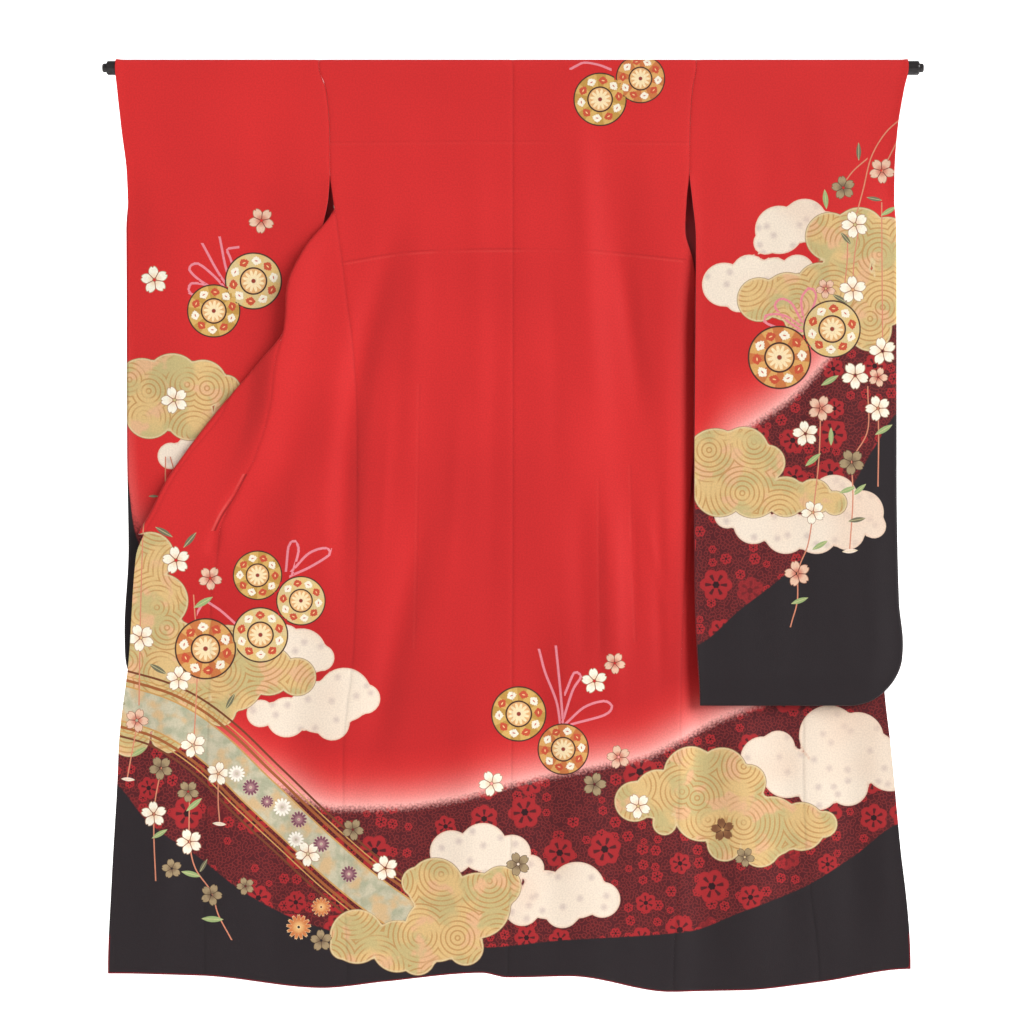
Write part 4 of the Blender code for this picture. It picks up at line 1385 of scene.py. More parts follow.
@dataclass
class Sleeve(Panel):
    """A long sleeve: a bag over the rod, open at its cuff and along its inner side.

    Attributes:
        front: The side of the garment that it belongs to.
        edges: Its inner and outer edge down the garment.
        middle: The column of the bag table that places it in y.
        creases: Its soft folds.
        columns: Steps across it.
        corner_rows: Rows round the corner at its foot.
    """

    front: FrontSide
    edges: Profile
    middle: str
    creases: tuple[Crease, ...]
    columns: int = 54
    corner_rows: int = 18

    slot = "silk_sleeve"

    def inner_edge(self, depth: Array) -> Array:
        """Inner edge, at the armhole and along the open side below it."""
        return self.edges.line("inner")(depth)

    def outer_edge(self, depth: Array) -> Array:
        """Outer edge, with the round corner at the sleeve's foot.

        Args:
            depth: Places down the garment.

        Returns:
            The edge's x at each depth.
        """
        inset = np.maximum(depth - (SLEEVE_DEPTH - SLEEVE_CORNER), 0.0)
        reach = np.sqrt(np.maximum(SLEEVE_CORNER**2 - inset**2, 0.0))
        return self.edges.line("outer")(depth) - self.front.outward * (SLEEVE_CORNER - reach)

    def layer_y(self, x: Array, depth: Array, layer: float) -> Array:
        """Depth in y of one layer.

        Args:
            x: Places across.
            depth: Places down the garment.
            layer: -1 for the near layer, 1 for the far one.

        Returns:
            The middle of the layer's cloth at each place.
        """
        from_edge = np.minimum(np.abs(self.outer_edge(depth) - x), SLEEVE_DEPTH - depth)
        closing = smooth(depth, CUFF_DEPTH - 0.08, CUFF_DEPTH + 0.04)
        closing = closing * (1.0 - smooth(from_edge, 0.0, BAG_EDGE_REACH))
        width = mix(BAG.line("width")(depth), BAG_EDGE_WIDTH, closing)
        own = BAG.line(self.middle)(depth) + layer * width / 2
        body = near_y(self.front.side(depth), depth) if layer < 0 else far_y(depth)
        joined = 1.0 - smooth(np.abs(x - self.inner_edge(depth)), 0.0, ARMHOLE_REACH)
        joined = joined * (1.0 - smooth(depth, ARMHOLE_DEPTH, ARMHOLE_DEPTH + 0.12))
        return mix(own + relief(self.creases, x, depth), body, joined)

    def grid(self, depths: Array, layer: float) -> tuple[Array, Array]:
        """Points of one layer with their outward directions.

        Args:
            depths: Depths of the rows.
            layer: -1 for the near layer, 1 for the far one.

        Returns:
            The points and the directions.
        """
        inner = self.inner_edge(depths)
        if layer > 0:
            shut = smooth(depths, ARMHOLE_DEPTH, ARMHOLE_DEPTH + 0.02) * smooth(-depths, -0.43, -0.37)
            inner = mix(inner, self.front.side(depths) - self.front.outward * 0.003, shut)
        x = mix(inner[:, None], self.outer_edge(depths)[:, None], self.shares()[None, :])
        depth = depths[:, None] + 0.0 * x

        def place(across: Array, down: Array) -> Array:
            """Points of the layer, as x, y and z in the last axis."""
            return np.stack([across, self.layer_y(across, down, layer), -down], axis=-1)

        points, outers = facing(place, x, depth, 1.0)
        return points, outers * np.sign(outers[..., 1:2]) * layer

    def shares(self) -> Array:
        """Shares across the sleeve, closer together at its outer edge."""
        return 1.0 - (1.0 - edged(0.34, self.columns)) ** 1.12

    def sew(self, cloth: Cloth) -> None:
        """Lays out the sleeve.

        Args:
            cloth: The cloth that the sleeve is made of.
        """
        corner_top = SLEEVE_DEPTH - SLEEVE_CORNER
        turns = np.sin(np.linspace(0.0, math.pi / 2, self.corner_rows + 1)[1:])
        above = [row_depths(ROW_STEP, CUFF_DEPTH), row_depths(CUFF_DEPTH, corner_top)[1:]]
        depths = np.concatenate([*above, corner_top + SLEEVE_CORNER * turns])
        near_grid, far_grid = self.grid(depths, -1.0), self.grid(depths, 1.0)
        depth, x = depths[:, None], near_grid[0][..., 0]
        from_inner = np.abs(x - self.inner_edge(depths)[:, None])
        from_outer = np.abs(x - self.outer_edge(depths)[:, None])
        sewn = np.where(depth < ARMHOLE_DEPTH, from_inner, FAR_EDGE)
        rolled = np.where(depth > ARMHOLE_DEPTH, from_inner, FAR_EDGE)
        rolled = np.minimum(rolled, np.where(depth < CUFF_DEPTH, from_outer, FAR_EDGE))
        near = cloth.add(near_grid, sewn, rolled)
        far = cloth.add(far_grid, sewn, rolled)
        _, start, stop = self.edges.rows[0]
        top = mix(start, stop, self.shares())
        arc = cloth.add(over_rod(top), np.abs(top - start)[None, :], np.abs(top - stop)[None, :])
        cloth.join(np.vstack([near[::-1], arc]))
        cloth.join(np.vstack([arc[-1:], far]))
        self.close(cloth, near, far, depths)

    def close(self, cloth: Cloth, near: Array, far: Array, depths: Array) -> None:
        """Turns the cloth from the near to the far layer along the outer edge and the foot.

        Args:
            cloth: The sleeve's cloth so far.
            near: Point numbers of the near layer.
            far: Point numbers of the far layer.
            depths: Depths of both layers' rows.
        """
        closed = depths >= CUFF_DEPTH - 1e-6
        near_rim = np.concatenate([near[closed, -1], near[-1, -2::-1]])
        far_rim = np.concatenate([far[closed, -1], far[-1, -2::-1]])
        points = np.vstack(cloth.points)
        a, b = points[near_rim], points[far_rim]
        corner_start = int(closed.sum()) - 1 - self.corner_rows
        share = np.clip((np.arange(len(near_rim)) - corner_start) / self.corner_rows, 0.0, 1.0)
        angle = math.pi / 2 * share
        out = np.stack([self.front.outward * np.cos(angle), 0 * angle, -np.sin(angle)], axis=-1)
        begun = smooth(-a[:, 2], CUFF_DEPTH, CUFF_DEPTH + 0.05)
        push = (begun * (b - a)[:, 1] / 2)[:, None]
        rows = [near_rim]
        for turn in (-math.pi / 4, 0.0, math.pi / 4):
            outer = out * math.cos(turn) + np.array([0.0, math.sin(turn), 0.0])
            rows.append(cloth.add(((a + b) / 2 + outer * push, outer), FAR_EDGE, FAR_EDGE))
        rows.append(far_rim)
        cloth.join(np.vstack(rows))


def paint(red: int, green: int, blue: int) -> tuple[float, ...]:
    """A colour as the eye sees it on a screen, turned into light."""
    lit = (c / 3294.6 if c <= 10 else (c / 255.0 + 0.055) ** 2.4 / 1.055**2.4 for c in (red, green, blue))
    return (*lit, 1.0)


@dataclass(frozen=True)
class Field:
    """A number that varies over the cloth: the output of a material node.

    Attributes:
        nodes: The material's nodes that it belongs to.
        socket: The output that gives it.
    """

    nodes: "Nodes"
    socket: bpy.types.NodeSocket

    def __add__(self, other: "Value") -> "Field":
        """This field plus another."""
        return self.nodes.math("ADD", self, other)

    def __sub__(self, other: "Value") -> "Field":
        """This field less another."""
        return self.nodes.math("SUBTRACT", self, other)

    def __rsub__(self, other: float) -> "Field":
        """A number less this field."""
        return self.nodes.math("SUBTRACT", other, self)

    def __mul__(self, other: "Value") -> "Field":
        """This field times another."""
        return self.nodes.math("MULTIPLY", self, other)

    def __truediv__(self, other: "Value") -> "Field":
        """This field divided by another."""
        return self.nodes.math("DIVIDE", self, other)

    def __abs__(self) -> "Field":
        """This field without its sign."""
        return self.nodes.math("ABSOLUTE", self)


Value = Field | float
Colour = Field | tuple[int, int, int]


class Nodes:
    """The nodes of one material, built from its shader backwards."""

    def __init__(self, name: str) -> None:
        """Starts a material with nothing but its shader.

        Args:
            name: The material's name.
        """
        self.material = bpy.data.materials.new(name)
        self.material.use_nodes = True
        self.tree = self.material.node_tree
        self.tree.nodes.clear()
        self.shader = self.tree.nodes.new("ShaderNodeBsdfPrincipled")
        self.output = self.tree.nodes.new("ShaderNodeOutputMaterial")
        self.tree.links.new(self.shader.outputs[0], self.output.inputs[0])

    def node(self, kind: str, inputs: dict, out: int | str = 0, **settings: str | bool) -> Field:
        """Adds one node.

        Args:
            kind: The node's type.
            inputs: What each input is fed with, by its name or number.
            out: The output that is wanted.
            settings: The node's own settings.

        Returns:
            The wanted output.
        """
        node = self.tree.nodes.new(kind)
        for name, value in settings.items():
            setattr(node, name, value)
        for name, value in inputs.items():
            self.feed(node.inputs[name], value)
        return Field(self, node.outputs[out])

    def feed(self, socket: bpy.types.NodeSocket, value: Value | Colour) -> None:
        """Links a field to an input, or sets the input to a number or a colour."""
        if isinstance(value, Field):
            self.tree.links.new(value.socket, socket)
        else:
            socket.default_value = paint(*value) if isinstance(value, tuple) else value

    def shaded(self, inputs: dict[str, Value | Colour]) -> bpy.types.Material:
        """Feeds the shader's inputs and gives the material."""
        for name, value in inputs.items():
            self.feed(self.shader.inputs[name], value)
        return self.material

    def math(self, operation: str, *values: Value) -> Field:
        """Reckons with one, two or three fields or numbers."""
        return self.node("ShaderNodeMath", dict(enumerate(values)), operation=operation)

    def rise(self, value: Field, start: float, end: float, height: float = 1.0) -> Field:
        """Rises from 0 where the value is start to the height where it is end."""
        inputs = {"Value": value, "From Min": start, "From Max": end, "To Max": height}
        return self.node("ShaderNodeMapRange", inputs, interpolation_type="SMOOTHSTEP")

    def over(self, under: Colour, colour: Colour, cover: Value, blend: str = "MIX") -> Field:
        """Lays one colour over another where the cover is 1."""
        inputs = {0: cover, 6: under, 7: colour}
        return self.node("ShaderNodeMix", inputs, 2, data_type="RGBA", blend_type=blend)

    def apart(self, vector: Field) -> list[Field]:
        """The three numbers of a vector."""
        node = self.node("ShaderNodeSeparateXYZ", {0: vector}).socket.node
        return [Field(self, output) for output in node.outputs]

    def read(self, name: str) -> list[Field]:
        """The three numbers of one of the cloth's attributes."""
        return self.apart(self.node("ShaderNodeAttribute", {}, "Vector", attribute_name=name))

    def position(self) -> list[Field]:
        """The place on the hanging garment, in metres."""
        return self.apart(self.node("ShaderNodeTexCoord", {}, "Object"))


MOTIF_SPAN = 16.0
PETAL_MIDDLE = 0.56
PETAL_REACH = 0.46

# Petal tips, petal hearts, petal edges and hub of each flower
BLOOMS = {
    Motif.WHITE_BLOSSOM: ((253, 246, 226), (246, 222, 190), (170, 122, 84), (150, 78, 50)),
    Motif.PALE_BLOSSOM: ((236, 196, 168), (214, 134, 112), (160, 92, 70), (122, 50, 40)),
    Motif.SHADOW_BLOSSOM: ((168, 146, 110), (132, 110, 84), (92, 70, 50), (96, 70, 50)),
    Motif.BROWN_BLOSSOM: ((128, 84, 54), (150, 104, 66), (206, 160, 100), (80, 44, 30)),
    Motif.WHITE_MUM: ((250, 244, 230), (222, 206, 190), (196, 176, 160), (206, 160, 90)),
    Motif.PLUM_MUM: ((128, 76, 92), (176, 128, 132), (226, 196, 180), (226, 186, 110)),
    Motif.ORANGE_MUM: ((212, 128, 74), (236, 184, 120), (250, 220, 170), (160, 70, 44)),
}
LEAF_INKS = {
    Motif.GREEN_LEAF: (158, 178, 118),
    Motif.GREY_LEAF: (116, 112, 88),
    Motif.BUD: (248, 226, 206),
}
BALL_INKS = {
    Motif.ORANGE_BALL: (204, 120, 66),
    Motif.GOLD_BALL: (196, 150, 72),
    Motif.CREAM_BALL: (222, 196, 140),
}
# The small flowers round a ball: the side of the ring, the petals, the heart
BALL_FLOWERS = (
    (-1.0, (250, 240, 218), (206, 96, 70)),
    (1.0, (206, 84, 56), (246, 214, 150)),
)
# Bars beside the stream: distance from its middle line, half width, colour
STREAM_BARS = (
    (0.0300, 0.0012, (206, 158, 92)),
    (0.0400, 0.0022, (164, 94, 50)),
    (0.0470, 0.0008, (206, 158, 92)),
    (0.0560, 0.0016, (120, 64, 38)),
)
# Flowers of the band: size of a cell in metres, smallest and largest radius as shares of
# the cell, and the share of the cells that stay empty
BAND_FLOWERS = ((0.024, 0.24, 0.44, 0.55), (0.066, 0.26, 0.46, 0.42))


class Silk(Nodes):
    """Dyed crepe silk with its whole pattern and painted shade, each layer laid over the one below."""

    # The ground's darker and lighter red, mixed at random and, as painted shade, towards the darker one
    # lower down; and the warm and the pale part just above the band
    red = ((192, 32, 34), (218, 42, 42), (246, 58, 54), (255, 178, 170))
    # The band's ground, its lace, its flowers and their hubs, and the black foot
    band = ((84, 24, 29), (122, 38, 38), (170, 38, 42), (46, 16, 22))
    black = (38, 31, 34)
    # The cream clouds, their shade and their thin edge
    cream = ((244, 228, 208), (212, 192, 180), (236, 206, 182))
    # The gold clouds, a greener and a rosier part, the waves and the rim, and the outline
    gold = ((224, 190, 130), (200, 182, 126), (228, 182, 138), (190, 132, 72), (226, 204, 158))
    gold_outline = (150, 112, 74)
    # The stream's bed, its shade and its gold
    bed = ((204, 196, 168), (174, 174, 146), (214, 182, 136))
    # Branches and cords
    inks = ((216, 138, 108), (232, 138, 148))
    # The thread balls' wedges, rosette, petals, rings and knot
    thread = ((232, 190, 112), (232, 178, 118), (250, 226, 180), (72, 42, 34), (150, 60, 44))
    # The painted shade along seams, the rolled hem's red, the painted shade in the creases and the
    # painted highlight beside them, and the grain
    painted_shading_hem_and_grain = ((60, 10, 14), (132, 26, 36), (90, 20, 24), (255, 150, 140), (150, 140, 140))

    def made(self) -> bpy.types.Material:
        """Builds the silk, layer by layer.

        Returns:
            The material.
        """
        self.x, _, self.z = self.position()
        self.spot = self.node("ShaderNodeCombineXYZ", {0: self.x, 1: self.z})
        self.colour = self.ground()
        self.clouds()
        self.stream()
        self.strokes()
        self.leaves()
        self.balls()
        self.flowers()
        self.edges()
        self.creases()
        self.lay(self.painted_shading_hem_and_grain[4], self.mottle(0.0028, 0.25, 0.75, 0.16), "MULTIPLY")
        crepe = {"Height": self.noise(0.0016, 3.0), "Strength": 0.35, "Distance": 0.0004}
        bump = self.node("ShaderNodeBump", crepe)
        look = {"Roughness": 0.62, "Sheen Weight": 0.08, "Specular IOR Level": 0.22}
        return self.shaded({"Base Color": self.colour, "Normal": bump, **look})

    def lay(self, colour: Colour, cover: Value, blend: str = "MIX") -> None:
        """Lays a colour over the cloth where the cover is 1."""
        self.colour = self.over(self.colour, colour, cover, blend)

    def noise(self, size: float, detail: float = 2.0) -> Field:
        """Soft noise around 0.5, whose lumps have the given size in metres."""
        inputs = {"Vector": self.spot, "Scale": 1.0 / size, "Detail": detail}
        return self.node("ShaderNodeTexNoise", inputs, noise_dimensions="2D")

    def mottle(self, size: float, start: float, end: float, height: float = 1.0) -> Field:
        """Soft patches of the given size, from 0 where the noise is start up to the height."""
        return self.rise(self.noise(size), start, end, height)

    def cells(self, size: float, out: str = "Distance", uneven: float = 1.0) -> Field:
        """Cells of the given size in metres: the distance from their middles, or their places."""
        inputs = {"Vector": self.spot, "Scale": 1.0 / size, "Randomness": uneven}
        return self.node("ShaderNodeTexVoronoi", inputs, out, voronoi_dimensions="2D")

    def length(self, x: Field, y: Field) -> Field:
        """The distance of a place from the middle."""
        return self.math("SQRT", x * x + y * y)

    def by_motif(self, number: Field, colours: dict[Motif, tuple]) -> Field:
        """The colour of whichever motif a place belongs to.

        Args:
            number: The number of the motif at each place.
            colours: The motifs' colours, in the order of their numbers.

        Returns:
            The colour at each place.
        """
        node = self.node("ShaderNodeValToRGB", {0: number / MOTIF_SPAN}).socket.node
        ramp = node.color_ramp
        ramp.interpolation = "CONSTANT"
        for i, (motif, colour) in enumerate(colours.items()):
            position = (motif.value - 0.5) / MOTIF_SPAN
            stop = ramp.elements[0] if i == 0 else ramp.elements.new(position)
            stop.position = position
            stop.color = paint(*colour)
        ramp.elements.remove(ramp.elements[-1])
        return Field(self, node.outputs[0])

    def petals(self, x: Field, y: Field, count: float, slim: float) -> tuple[Field, Field, Field]:
        """How far each place lies outside the petals of a flower of radius 1.

        Args:
            x: Place across the flower.
            y: Height on the flower.
            count: How many petals it has.
            slim: Half the width of a petal.

        Returns:
            The distance outside the nearest petal, negative inside; the distance from the
            middle; and the distance from the line between two petals.
        """
        away = self.length(x, y)
        turn = self.math("ARCTAN2", x, y) / (2.0 * math.pi) * count
        turn = (turn - self.math("ROUND", turn)) / count * (2.0 * math.pi)
        side = abs(away * self.math("SINE", turn))
        up = away * self.math("COSINE", turn)
        shape = self.length(side / slim, (up - PETAL_MIDDLE) / PETAL_REACH) - 1.0
        notch = (up - 0.90) * 2.2 - side * 2.6
        return self.math("MAXIMUM", shape, notch), away, up * math.tan(math.pi / count) - side

    def ground(self) -> Field:
        """The red ground, darker lower down as painted shade, the band and the black foot.

        Returns:
            The colour of the cloth so far.
        """
        band, foot, glow = self.read("zones")
        # Random tone, plus painted shade that darkens the ground lower down
        dye = self.rise(self.noise(0.30, 1.0), 0.10, 0.90, 0.5) + self.rise(self.z, -1.10, -0.60, 0.5)
        colour = self.over(self.red[0], self.red[1], dye)
        near_line = self.math("MAXIMUM", self.math("MINIMUM", band / 0.096 + 1.0, 1.0), 0.0)
        colour = self.over(colour, self.red[2], near_line * glow * 0.6)
        colour = self.over(colour, self.red[3], self.math("POWER", near_line, 4.0) * glow)
        rough = (self.noise(0.004) - 0.5) * 0.016
        lace = self.rise(abs(self.cells(0.0075) - 0.42), 0.16, 0.06)
        field = self.over(self.band[0], self.band[1], lace)
        for size, small, large, few in BAND_FLOWERS:
            field = self.band_flowers(field, size, (small, large), few)
        colour = self.over(colour, field, self.rise(band + rough, -0.004, 0.014))
        return self.over(colour, self.black, self.rise(foot, -0.0015, 0.0015))

    def band_flowers(self, field: Field, size: float, radii: tuple, few: float) -> Field:
        """Red ring flowers scattered over the band.

        Args:
            field: The band's colour so far.
            size: Size of a flower's cell in metres.
            radii: Smallest and largest radius of a flower, as a share of the cell.
            few: Share of the cells that stay empty.

        Returns:
            The band's colour with these flowers.
        """
        middle_x, middle_z, _ = self.apart(self.cells(size, "Position", 0.5))
        chance, other, _ = self.apart(self.cells(size, "Color", 0.5))
        right, up = (self.x - middle_x) / size, (self.z - middle_z) / size
        turn = self.math("ARCTAN2", right, up)
        lobed = abs(self.math("COSINE", turn * 3.0 + other * 6.0)) * 0.22 + 0.86
        radius = (other * (radii[1] - radii[0]) + radii[0]) * lobed
        reach = self.length(right, up) / radius
        drawn = self.rise(chance, few, few + 0.02)
        field = self.over(field, self.band[2], self.rise(reach, 1.0, 0.90) * drawn)
        ray = self.rise(self.math("COSINE", turn * 6.0 + other * 12.0), 0.1, 0.8)
        inner = self.rise(abs(reach - 0.46), 0.24, 0.14) * ray
        field = self.over(field, self.band[0], inner * drawn)
        return self.over(field, self.band[3], self.rise(reach, 0.26, 0.18) * drawn)

    def clouds(self) -> None:
        """Cream clouds with soft spots, and gold clouds filled with waves over them."""
        cream, gold, _ = self.read("clouds")
        spots = self.rise(self.cells(0.036), 0.27, 0.02, 0.75)
        body = self.over(self.cream[0], self.cream[1], spots)
        body = self.over(body, self.cream[2], self.mottle(0.22, 0.40, 0.70, 0.65))
        body = self.over(body, self.cream[2], self.rise(cream, -0.0035, -0.0010))
        self.lay(body, self.rise(cream, 0.0006, -0.0006))
        body = self.over(self.gold[0], self.gold[1], self.mottle(0.07, 0.42, 0.58))
        body = self.over(body, self.gold[2], self.mottle(0.045, 0.55, 0.68))
        ring = self.math("FRACT", self.cells(0.080) * 9.5)
        line = self.rise(abs(ring - 0.5), 0.24, 0.08, 0.70)
        body = self.over(body, self.gold[3], line * self.mottle(0.060, 0.30, 0.55))
        body = self.over(body, self.gold[4], self.rise(gold, -0.0042, -0.0012, 0.8))
        self.lay(self.gold_outline, self.rise(gold, 0.0016, 0.0002, 0.9))
        self.lay(body, self.rise(gold, 0.0004, -0.0006))

    def stream(self) -> None:
        """The flowing stream: a grey green bed, thin gold lines and bars beside it."""
        _, across, there = self.read("stream")
        _, gold, _ = self.read("clouds")
        away = abs(across)
        clear = self.rise(gold, -0.0004, 0.0010)
        uncovered = self.math("MAXIMUM", clear, self.rise(self.z, -1.30, -1.28))
        on = self.rise(there, 0.4, 0.6) * uncovered * self.rise(self.z, -1.52, -1.51)
        bed = self.over(self.bed[0], self.bed[1], self.mottle(0.022, 0.35, 0.70))
        bed = self.over(bed, self.bed[2], self.mottle(0.035, 0.46, 0.70))
        self.lay(bed, self.rise(away, 0.0305, 0.0295) * on)
        for middle, width, ink in STREAM_BARS:
            self.lay(ink, self.rise(abs(away - middle), width + 0.0004, width) * on)

    def strokes(self) -> None:
        """Thin branches and the balls' cords."""
        _, across, kind = self.read("strokes")
        cord = self.rise(kind, 1.4, 1.6)
        line = self.rise(abs(across) - (cord * 0.0010 + 0.0010), 0.0004, -0.0002)
        drawn = line * self.rise(abs(kind - 1.5), 1.0, 0.9) * self.rise(kind, 0.4, 0.6)
        self.lay(self.over(self.inks[0], self.inks[1], cord), drawn)

    def leaves(self) -> None:
        """Pointed leaves with a pale rib, and round buds."""
        x, y, number = self.read("leaves")
        side = abs(x)
        width = (1.0 - y * y) * 0.27
        inside = self.rise(side - width, 0.03, -0.03) * self.rise(number, 0.4, 0.6)
        rib = self.rise(side, 0.05, 0.02, 0.7)
        self.lay(self.over(self.by_motif(number, LEAF_INKS), (216, 206, 150), rib), inside)

    def balls(self) -> None:
        """Thread balls: a rosette in the middle, small flowers round it and a dark rim."""
        x, y, number = self.read("balls")
        away = self.length(x, y)
        turn = self.math("ARCTAN2", x, y)
        wedge = self.rise(self.math("COSINE", turn * 8.0), -0.2, 0.2)
        body = self.over(self.by_motif(number, BALL_INKS), self.thread[0], wedge * 0.6)
        five = self.math("COSINE", turn * 5.0 + 0.6)
        scallop = self.math("COSINE", away * 40.0) * self.math("COSINE", turn * 40.0) * 0.10
        for side, ink, heart in BALL_FLOWERS:
            bloom = abs(away - 0.70) * 5.0 + five * side
            body = self.over(body, ink, self.rise(bloom + scallop, -0.22, -0.36))
            body = self.over(body, heart, self.rise(bloom, -0.86, -0.94))
        body = self.over(body, self.thread[1], self.rise(away, 0.46, 0.42))
        petal, _, _ = self.petals(x / 0.40, y / 0.40, 12.0, 0.13)
        body = self.over(body, self.thread[2], self.rise(petal, 0.10, -0.10))
        body = self.over(body, self.thread[3], self.rise(abs(away - 0.45), 0.035, 0.020))
        body = self.over(body, self.thread[4], self.rise(away, 0.09, 0.06))
        body = self.over(body, self.thread[3], self.rise(away, 0.925, 0.95))
        self.lay(body, self.rise(away, 1.0, 0.975) * self.rise(number, 0.4, 0.6))

    def flowers(self) -> None:
        """Cherry blossoms with five notched petals, and chrysanthemums with many."""
        x, y, number = self.read("flowers")
        mum = self.rise(number, 4.4, 4.6)
        five, away, between = self.petals(x, y, 5.0, 0.36)
        many, _, _ = self.petals(x, y, 13.0, 0.145)
        shape = five + (many - five) * mum
        tips, hearts, rims, hubs = (
            self.by_motif(number, {motif: inks[part] for motif, inks in BLOOMS.items()})
            for part in range(4)
        )
        petal = self.over(hearts, tips, self.rise(away, 0.20, 0.62))
        petal = self.over(petal, rims, self.rise(shape, -0.16, -0.06, 0.85))
        petal = self.over(petal, hubs, self.rise(between, 0.055, 0.02) * (1.0 - mum))
        petal = self.over(petal, hubs, self.rise(away, 0.12, 0.08))
        self.lay(petal, self.rise(shape, 0.05, -0.03) * self.rise(number, 0.4, 0.6))

    def edges(self) -> None:
        """The shade along the seams, and the thin red line of the rolled hem."""
        sewn, rolled, _ = self.read("edges")
        # Painted shade in the seams' grooves
        self.lay(self.painted_shading_hem_and_grain[0], self.rise(sewn, 0.0035, 0.0, 0.12), "MULTIPLY")
        hem_roll = self.rise(rolled, 0.0030, 0.0016, 0.85) * self.rise(self.z, -1.50, -1.51)
        self.lay(self.painted_shading_hem_and_grain[1], hem_roll)

    def creases(self) -> None:
        """Painted shade where the garment was folded for storage, each line with a painted highlight
        beside it.
        """
        _, across, kind = self.read("strokes")
        strength = self.rise(kind, 2.4, 2.6, 0.07) + self.rise(kind, 3.4, 3.6, 0.08)
        strength = strength + self.rise(kind, 4.4, 4.6, 0.45)
        fade = self.mottle(0.09, 0.25, 0.55)
        # Painted shade in each crease, and a painted highlight beside it
        dark = self.rise(abs(across), 0.0026, 0.0) * strength * fade
        pale = self.rise(abs(across + 0.0042), 0.0030, 0.0) * strength * fade
        self.lay(self.painted_shading_hem_and_grain[2], dark, "MULTIPLY")
        self.lay(self.painted_shading_hem_and_grain[3], pale * 0.35)


@dataclass(frozen=True)
class Lining:
    """Plain silk lining: white above, deep red at the foot and along the rolled edges.

    Attributes:
        white: The upper lining.
        red: The lower lining and the rolled edges.
        border: Depth of the seam between them.
        facing_width: Width of the red facing along free edges.
    """

    white: tuple = (240, 234, 226)
    red: tuple = (150, 22, 32)
    border: float = 1.02
    facing_width: float = 0.035

    def made(self, name: str) -> bpy.types.Material:
        """Builds the lining.

        Args:
            name: The material's name.

        Returns:
            The material.
        """
        nodes = Nodes(name)
        _, _, z = nodes.position()
        _, rolled, _ = nodes.read("edges")
        low = nodes.rise(z, -self.border + 0.001, -self.border - 0.001)
        edge = nodes.rise(rolled, self.facing_width, self.facing_width - 0.002)
        colour = nodes.over(self.white, self.red, nodes.math("MAXIMUM", low, edge))
        return nodes.shaded({"Base Color": colour, "Roughness": 0.50, "Sheen Weight": 0.15})


@dataclass(frozen=True)
class Lacquer:
    """Black lacquer with a clear coat, for the rod.

    Attributes:
        colour: The lacquer's colour.
        roughness: How dull the lacquer is below its coat.
        coat: How strong the clear coat is.
        coat_roughness: How dull the clear coat is.
    """

    colour: tuple = (34, 29, 29)
    roughness: float = 0.30
    coat: float = 0.5
    coat_roughness: float = 0.08

    def made(self, name: str) -> bpy.types.Material:
        """Builds the lacquer under the given name."""
        coat = {"Coat Weight": self.coat, "Coat Roughness": self.coat_roughness}
        return Nodes(name).shaded({"Base Color": self.colour, "Roughness": self.roughness, **coat})


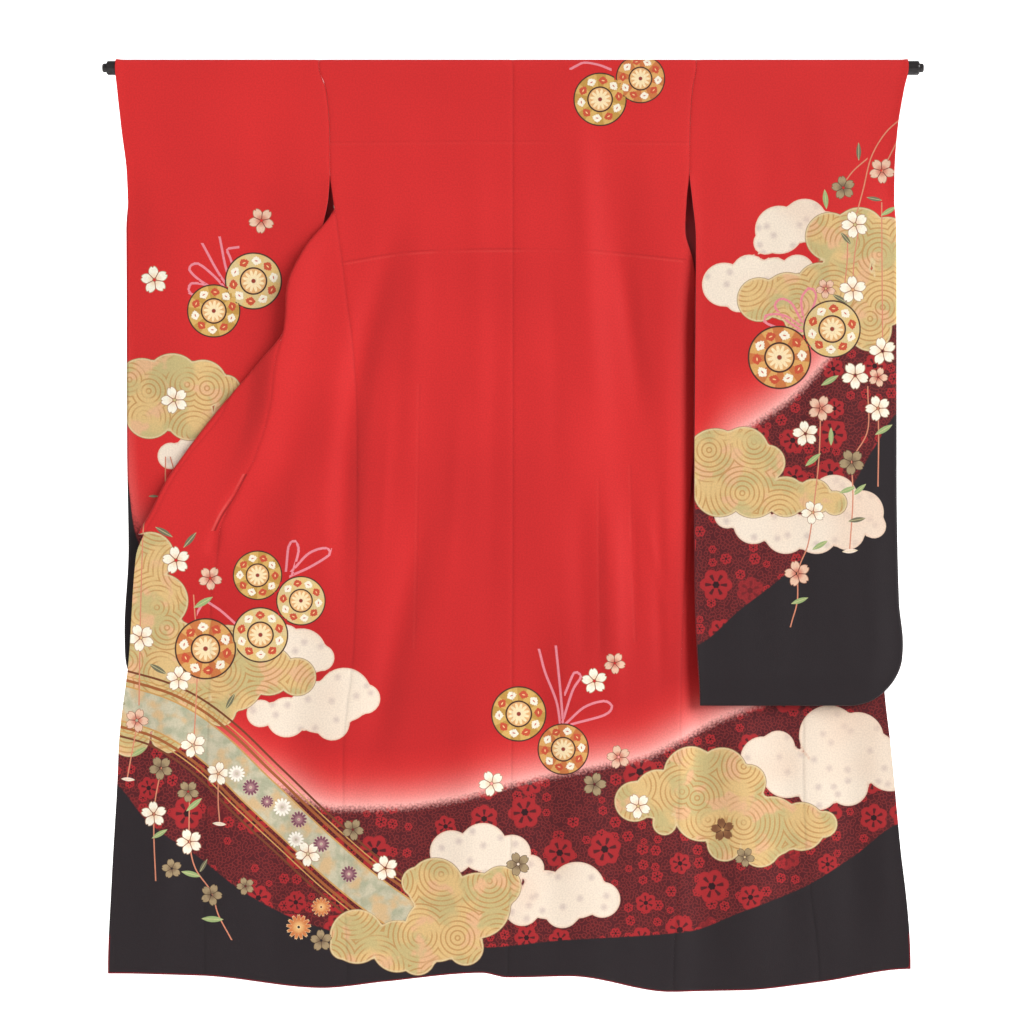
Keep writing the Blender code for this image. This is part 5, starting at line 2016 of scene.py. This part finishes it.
@dataclass(frozen=True)
class Studio:
    """A white studio: one sheet of backdrop that curves into the floor, and soft light.

    Attributes:
        floor_z: Height of the floor.
        wall_y: Where the backdrop stands, behind the garment.
        half_width: Half of the backdrop's width.
        curve: Radius of its curve into the floor.
        front_y: How far the floor reaches towards the viewer.
        height: Height of the backdrop above the floor.
        light_width: Angle that each light spans, in radians.
        world_strength: Strength of the light from all round.
        viewpoint: Where the camera stands, at the photograph's distance and height.
    """

    floor_z: float = -1.72
    wall_y: float = 1.60
    half_width: float = 5.0
    curve: float = 0.6
    front_y: float = -5.5
    height: float = 4.2
    light_width: float = 0.70
    world_strength: float = 0.23
    viewpoint: tuple = (-0.0052, -4.19, -0.769)

    def build(self) -> None:
        """Sets up the backdrop, the light and the camera."""
        self.backdrop()
        self.light("key_light", (0.76, -0.52, 0.40), 3.10)
        self.light("fill_light", (-0.60, -0.78, 0.20), 0.58)
        world = bpy.data.worlds.new("studio_world")
        world.use_nodes = True
        background = world.node_tree.nodes["Background"]
        background.inputs["Color"].default_value = paint(255, 255, 255)
        background.inputs["Strength"].default_value = self.world_strength
        bpy.context.scene.world = world
        bpy.context.scene.view_settings.view_transform = "Standard"
        self.camera()

    def backdrop(self) -> None:
        """Makes the backdrop, which glows a little and can't be seen from behind."""
        angle = np.linspace(0.0, math.pi / 2, 17)
        y = self.wall_y - self.curve + self.curve * np.sin(angle)
        z = self.floor_z + self.curve * (1.0 - np.cos(angle))
        y = np.concatenate([[self.front_y], y, [self.wall_y]])
        z = np.concatenate([[self.floor_z], z, [self.floor_z + self.height]])
        left = np.stack([0.0 * y - self.half_width, y, z], axis=-1)
        right = left * np.array([-1.0, 1.0, 1.0])
        count = len(y)
        faces = [(i, i + count, i + count + 1, i + 1) for i in range(count - 1)]
        mesh = bpy.data.meshes.new("backdrop")
        mesh.from_pydata(np.vstack([left, right]).tolist(), [], faces)
        mesh.shade_smooth()
        nodes = Nodes("backdrop_white")
        glow = nodes.node("ShaderNodeLightPath", {}, "Is Camera Ray") * 0.75
        look = {"Base Color": (250, 250, 250), "Roughness": 0.9}
        nodes.shaded({**look, "Emission Color": (255, 255, 255), "Emission Strength": glow})
        shader = Field(nodes, nodes.shader.outputs[0])
        behind = nodes.node("ShaderNodeNewGeometry", {}, "Backfacing")
        clear = nodes.node("ShaderNodeBsdfTransparent", {})
        seen = nodes.node("ShaderNodeMixShader", {0: behind, 1: shader, 2: clear})
        nodes.feed(nodes.output.inputs[0], seen)
        mesh.materials.append(nodes.material)
        linked("backdrop", mesh)

    def light(self, name: str, side: tuple, strength: float) -> None:
        """Adds a wide, soft light that is even over the whole garment.

        Args:
            name: The light's name.
            side: The direction that it comes from.
            strength: Its strength in watts per square metre.
        """
        data = bpy.data.lights.new(name, "SUN")
        data.angle = self.light_width
        data.energy = strength
        linked(name, data).rotation_euler = Vector(side).to_track_quat("Z", "Y").to_euler()

    def camera(self) -> None:
        """Sets the camera square to the garment."""
        data = bpy.data.cameras.new("camera")
        data.lens = 85.0
        data.sensor_width = 36.0
        camera = linked("camera", data)
        camera.location = self.viewpoint
        camera.rotation_euler = (math.pi / 2, 0.0, 0.0)
        bpy.context.scene.camera = camera


BODY_CUT = ((0.36, 3.20), 0.86, SKIRT_PATTERN)
OKUMI_CUT = ((0.16, 1.36), 0.19, SKIRT_PATTERN)
SLEEVE_CUT = ((0.345, 2.21), 0.75)
COLLAR_CUT = ((0.058, 1.90), 0.105, SKIRT_PATTERN)

# The sewn panels, in the order in which they are built
PANELS = (
    BodyPanel("body_panel_left", "body_left", *BODY_CUT, left_front),
    BodyPanel("body_panel_right", "body_right", *BODY_CUT, right_front),
    OkumiPanel("okumi_panel_left", "okumi_left", *OKUMI_CUT, left_front),
    OkumiPanel("okumi_panel_right", "okumi_right", *OKUMI_CUT, right_front),
    Sleeve(
        "long_sleeve_left", "sleeve_left", *SLEEVE_CUT, LEFT_SLEEVE_PATTERN, left_front,
        LEFT_SLEEVE, "left_middle", LEFT_SLEEVE_CREASES,
    ),
    Sleeve(
        "long_sleeve_right", "sleeve_right", *SLEEVE_CUT, RIGHT_SLEEVE_PATTERN, right_front,
        RIGHT_SLEEVE, "right_middle", RIGHT_SLEEVE_CREASES,
    ),
    Collar("collar_strip", "collar", *COLLAR_CUT),
)


def main() -> None:
    """Builds the studio and the dressed garment."""
    logging.basicConfig(level=logging.INFO, format="%(name)s: %(message)s")
    Studio().build()
    silk = Silk("dyed_silk").made()
    lining = Lining().made("lining_silk")
    for panel in PANELS:
        panel.build(silk, lining)
    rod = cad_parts["rod"]
    rod.data.materials.clear()
    rod.data.materials.append(Lacquer().made("rod_lacquer_black"))
    log.info("rod: kept as it is, with its lacquer")


if __name__ == "__main__":
    main()
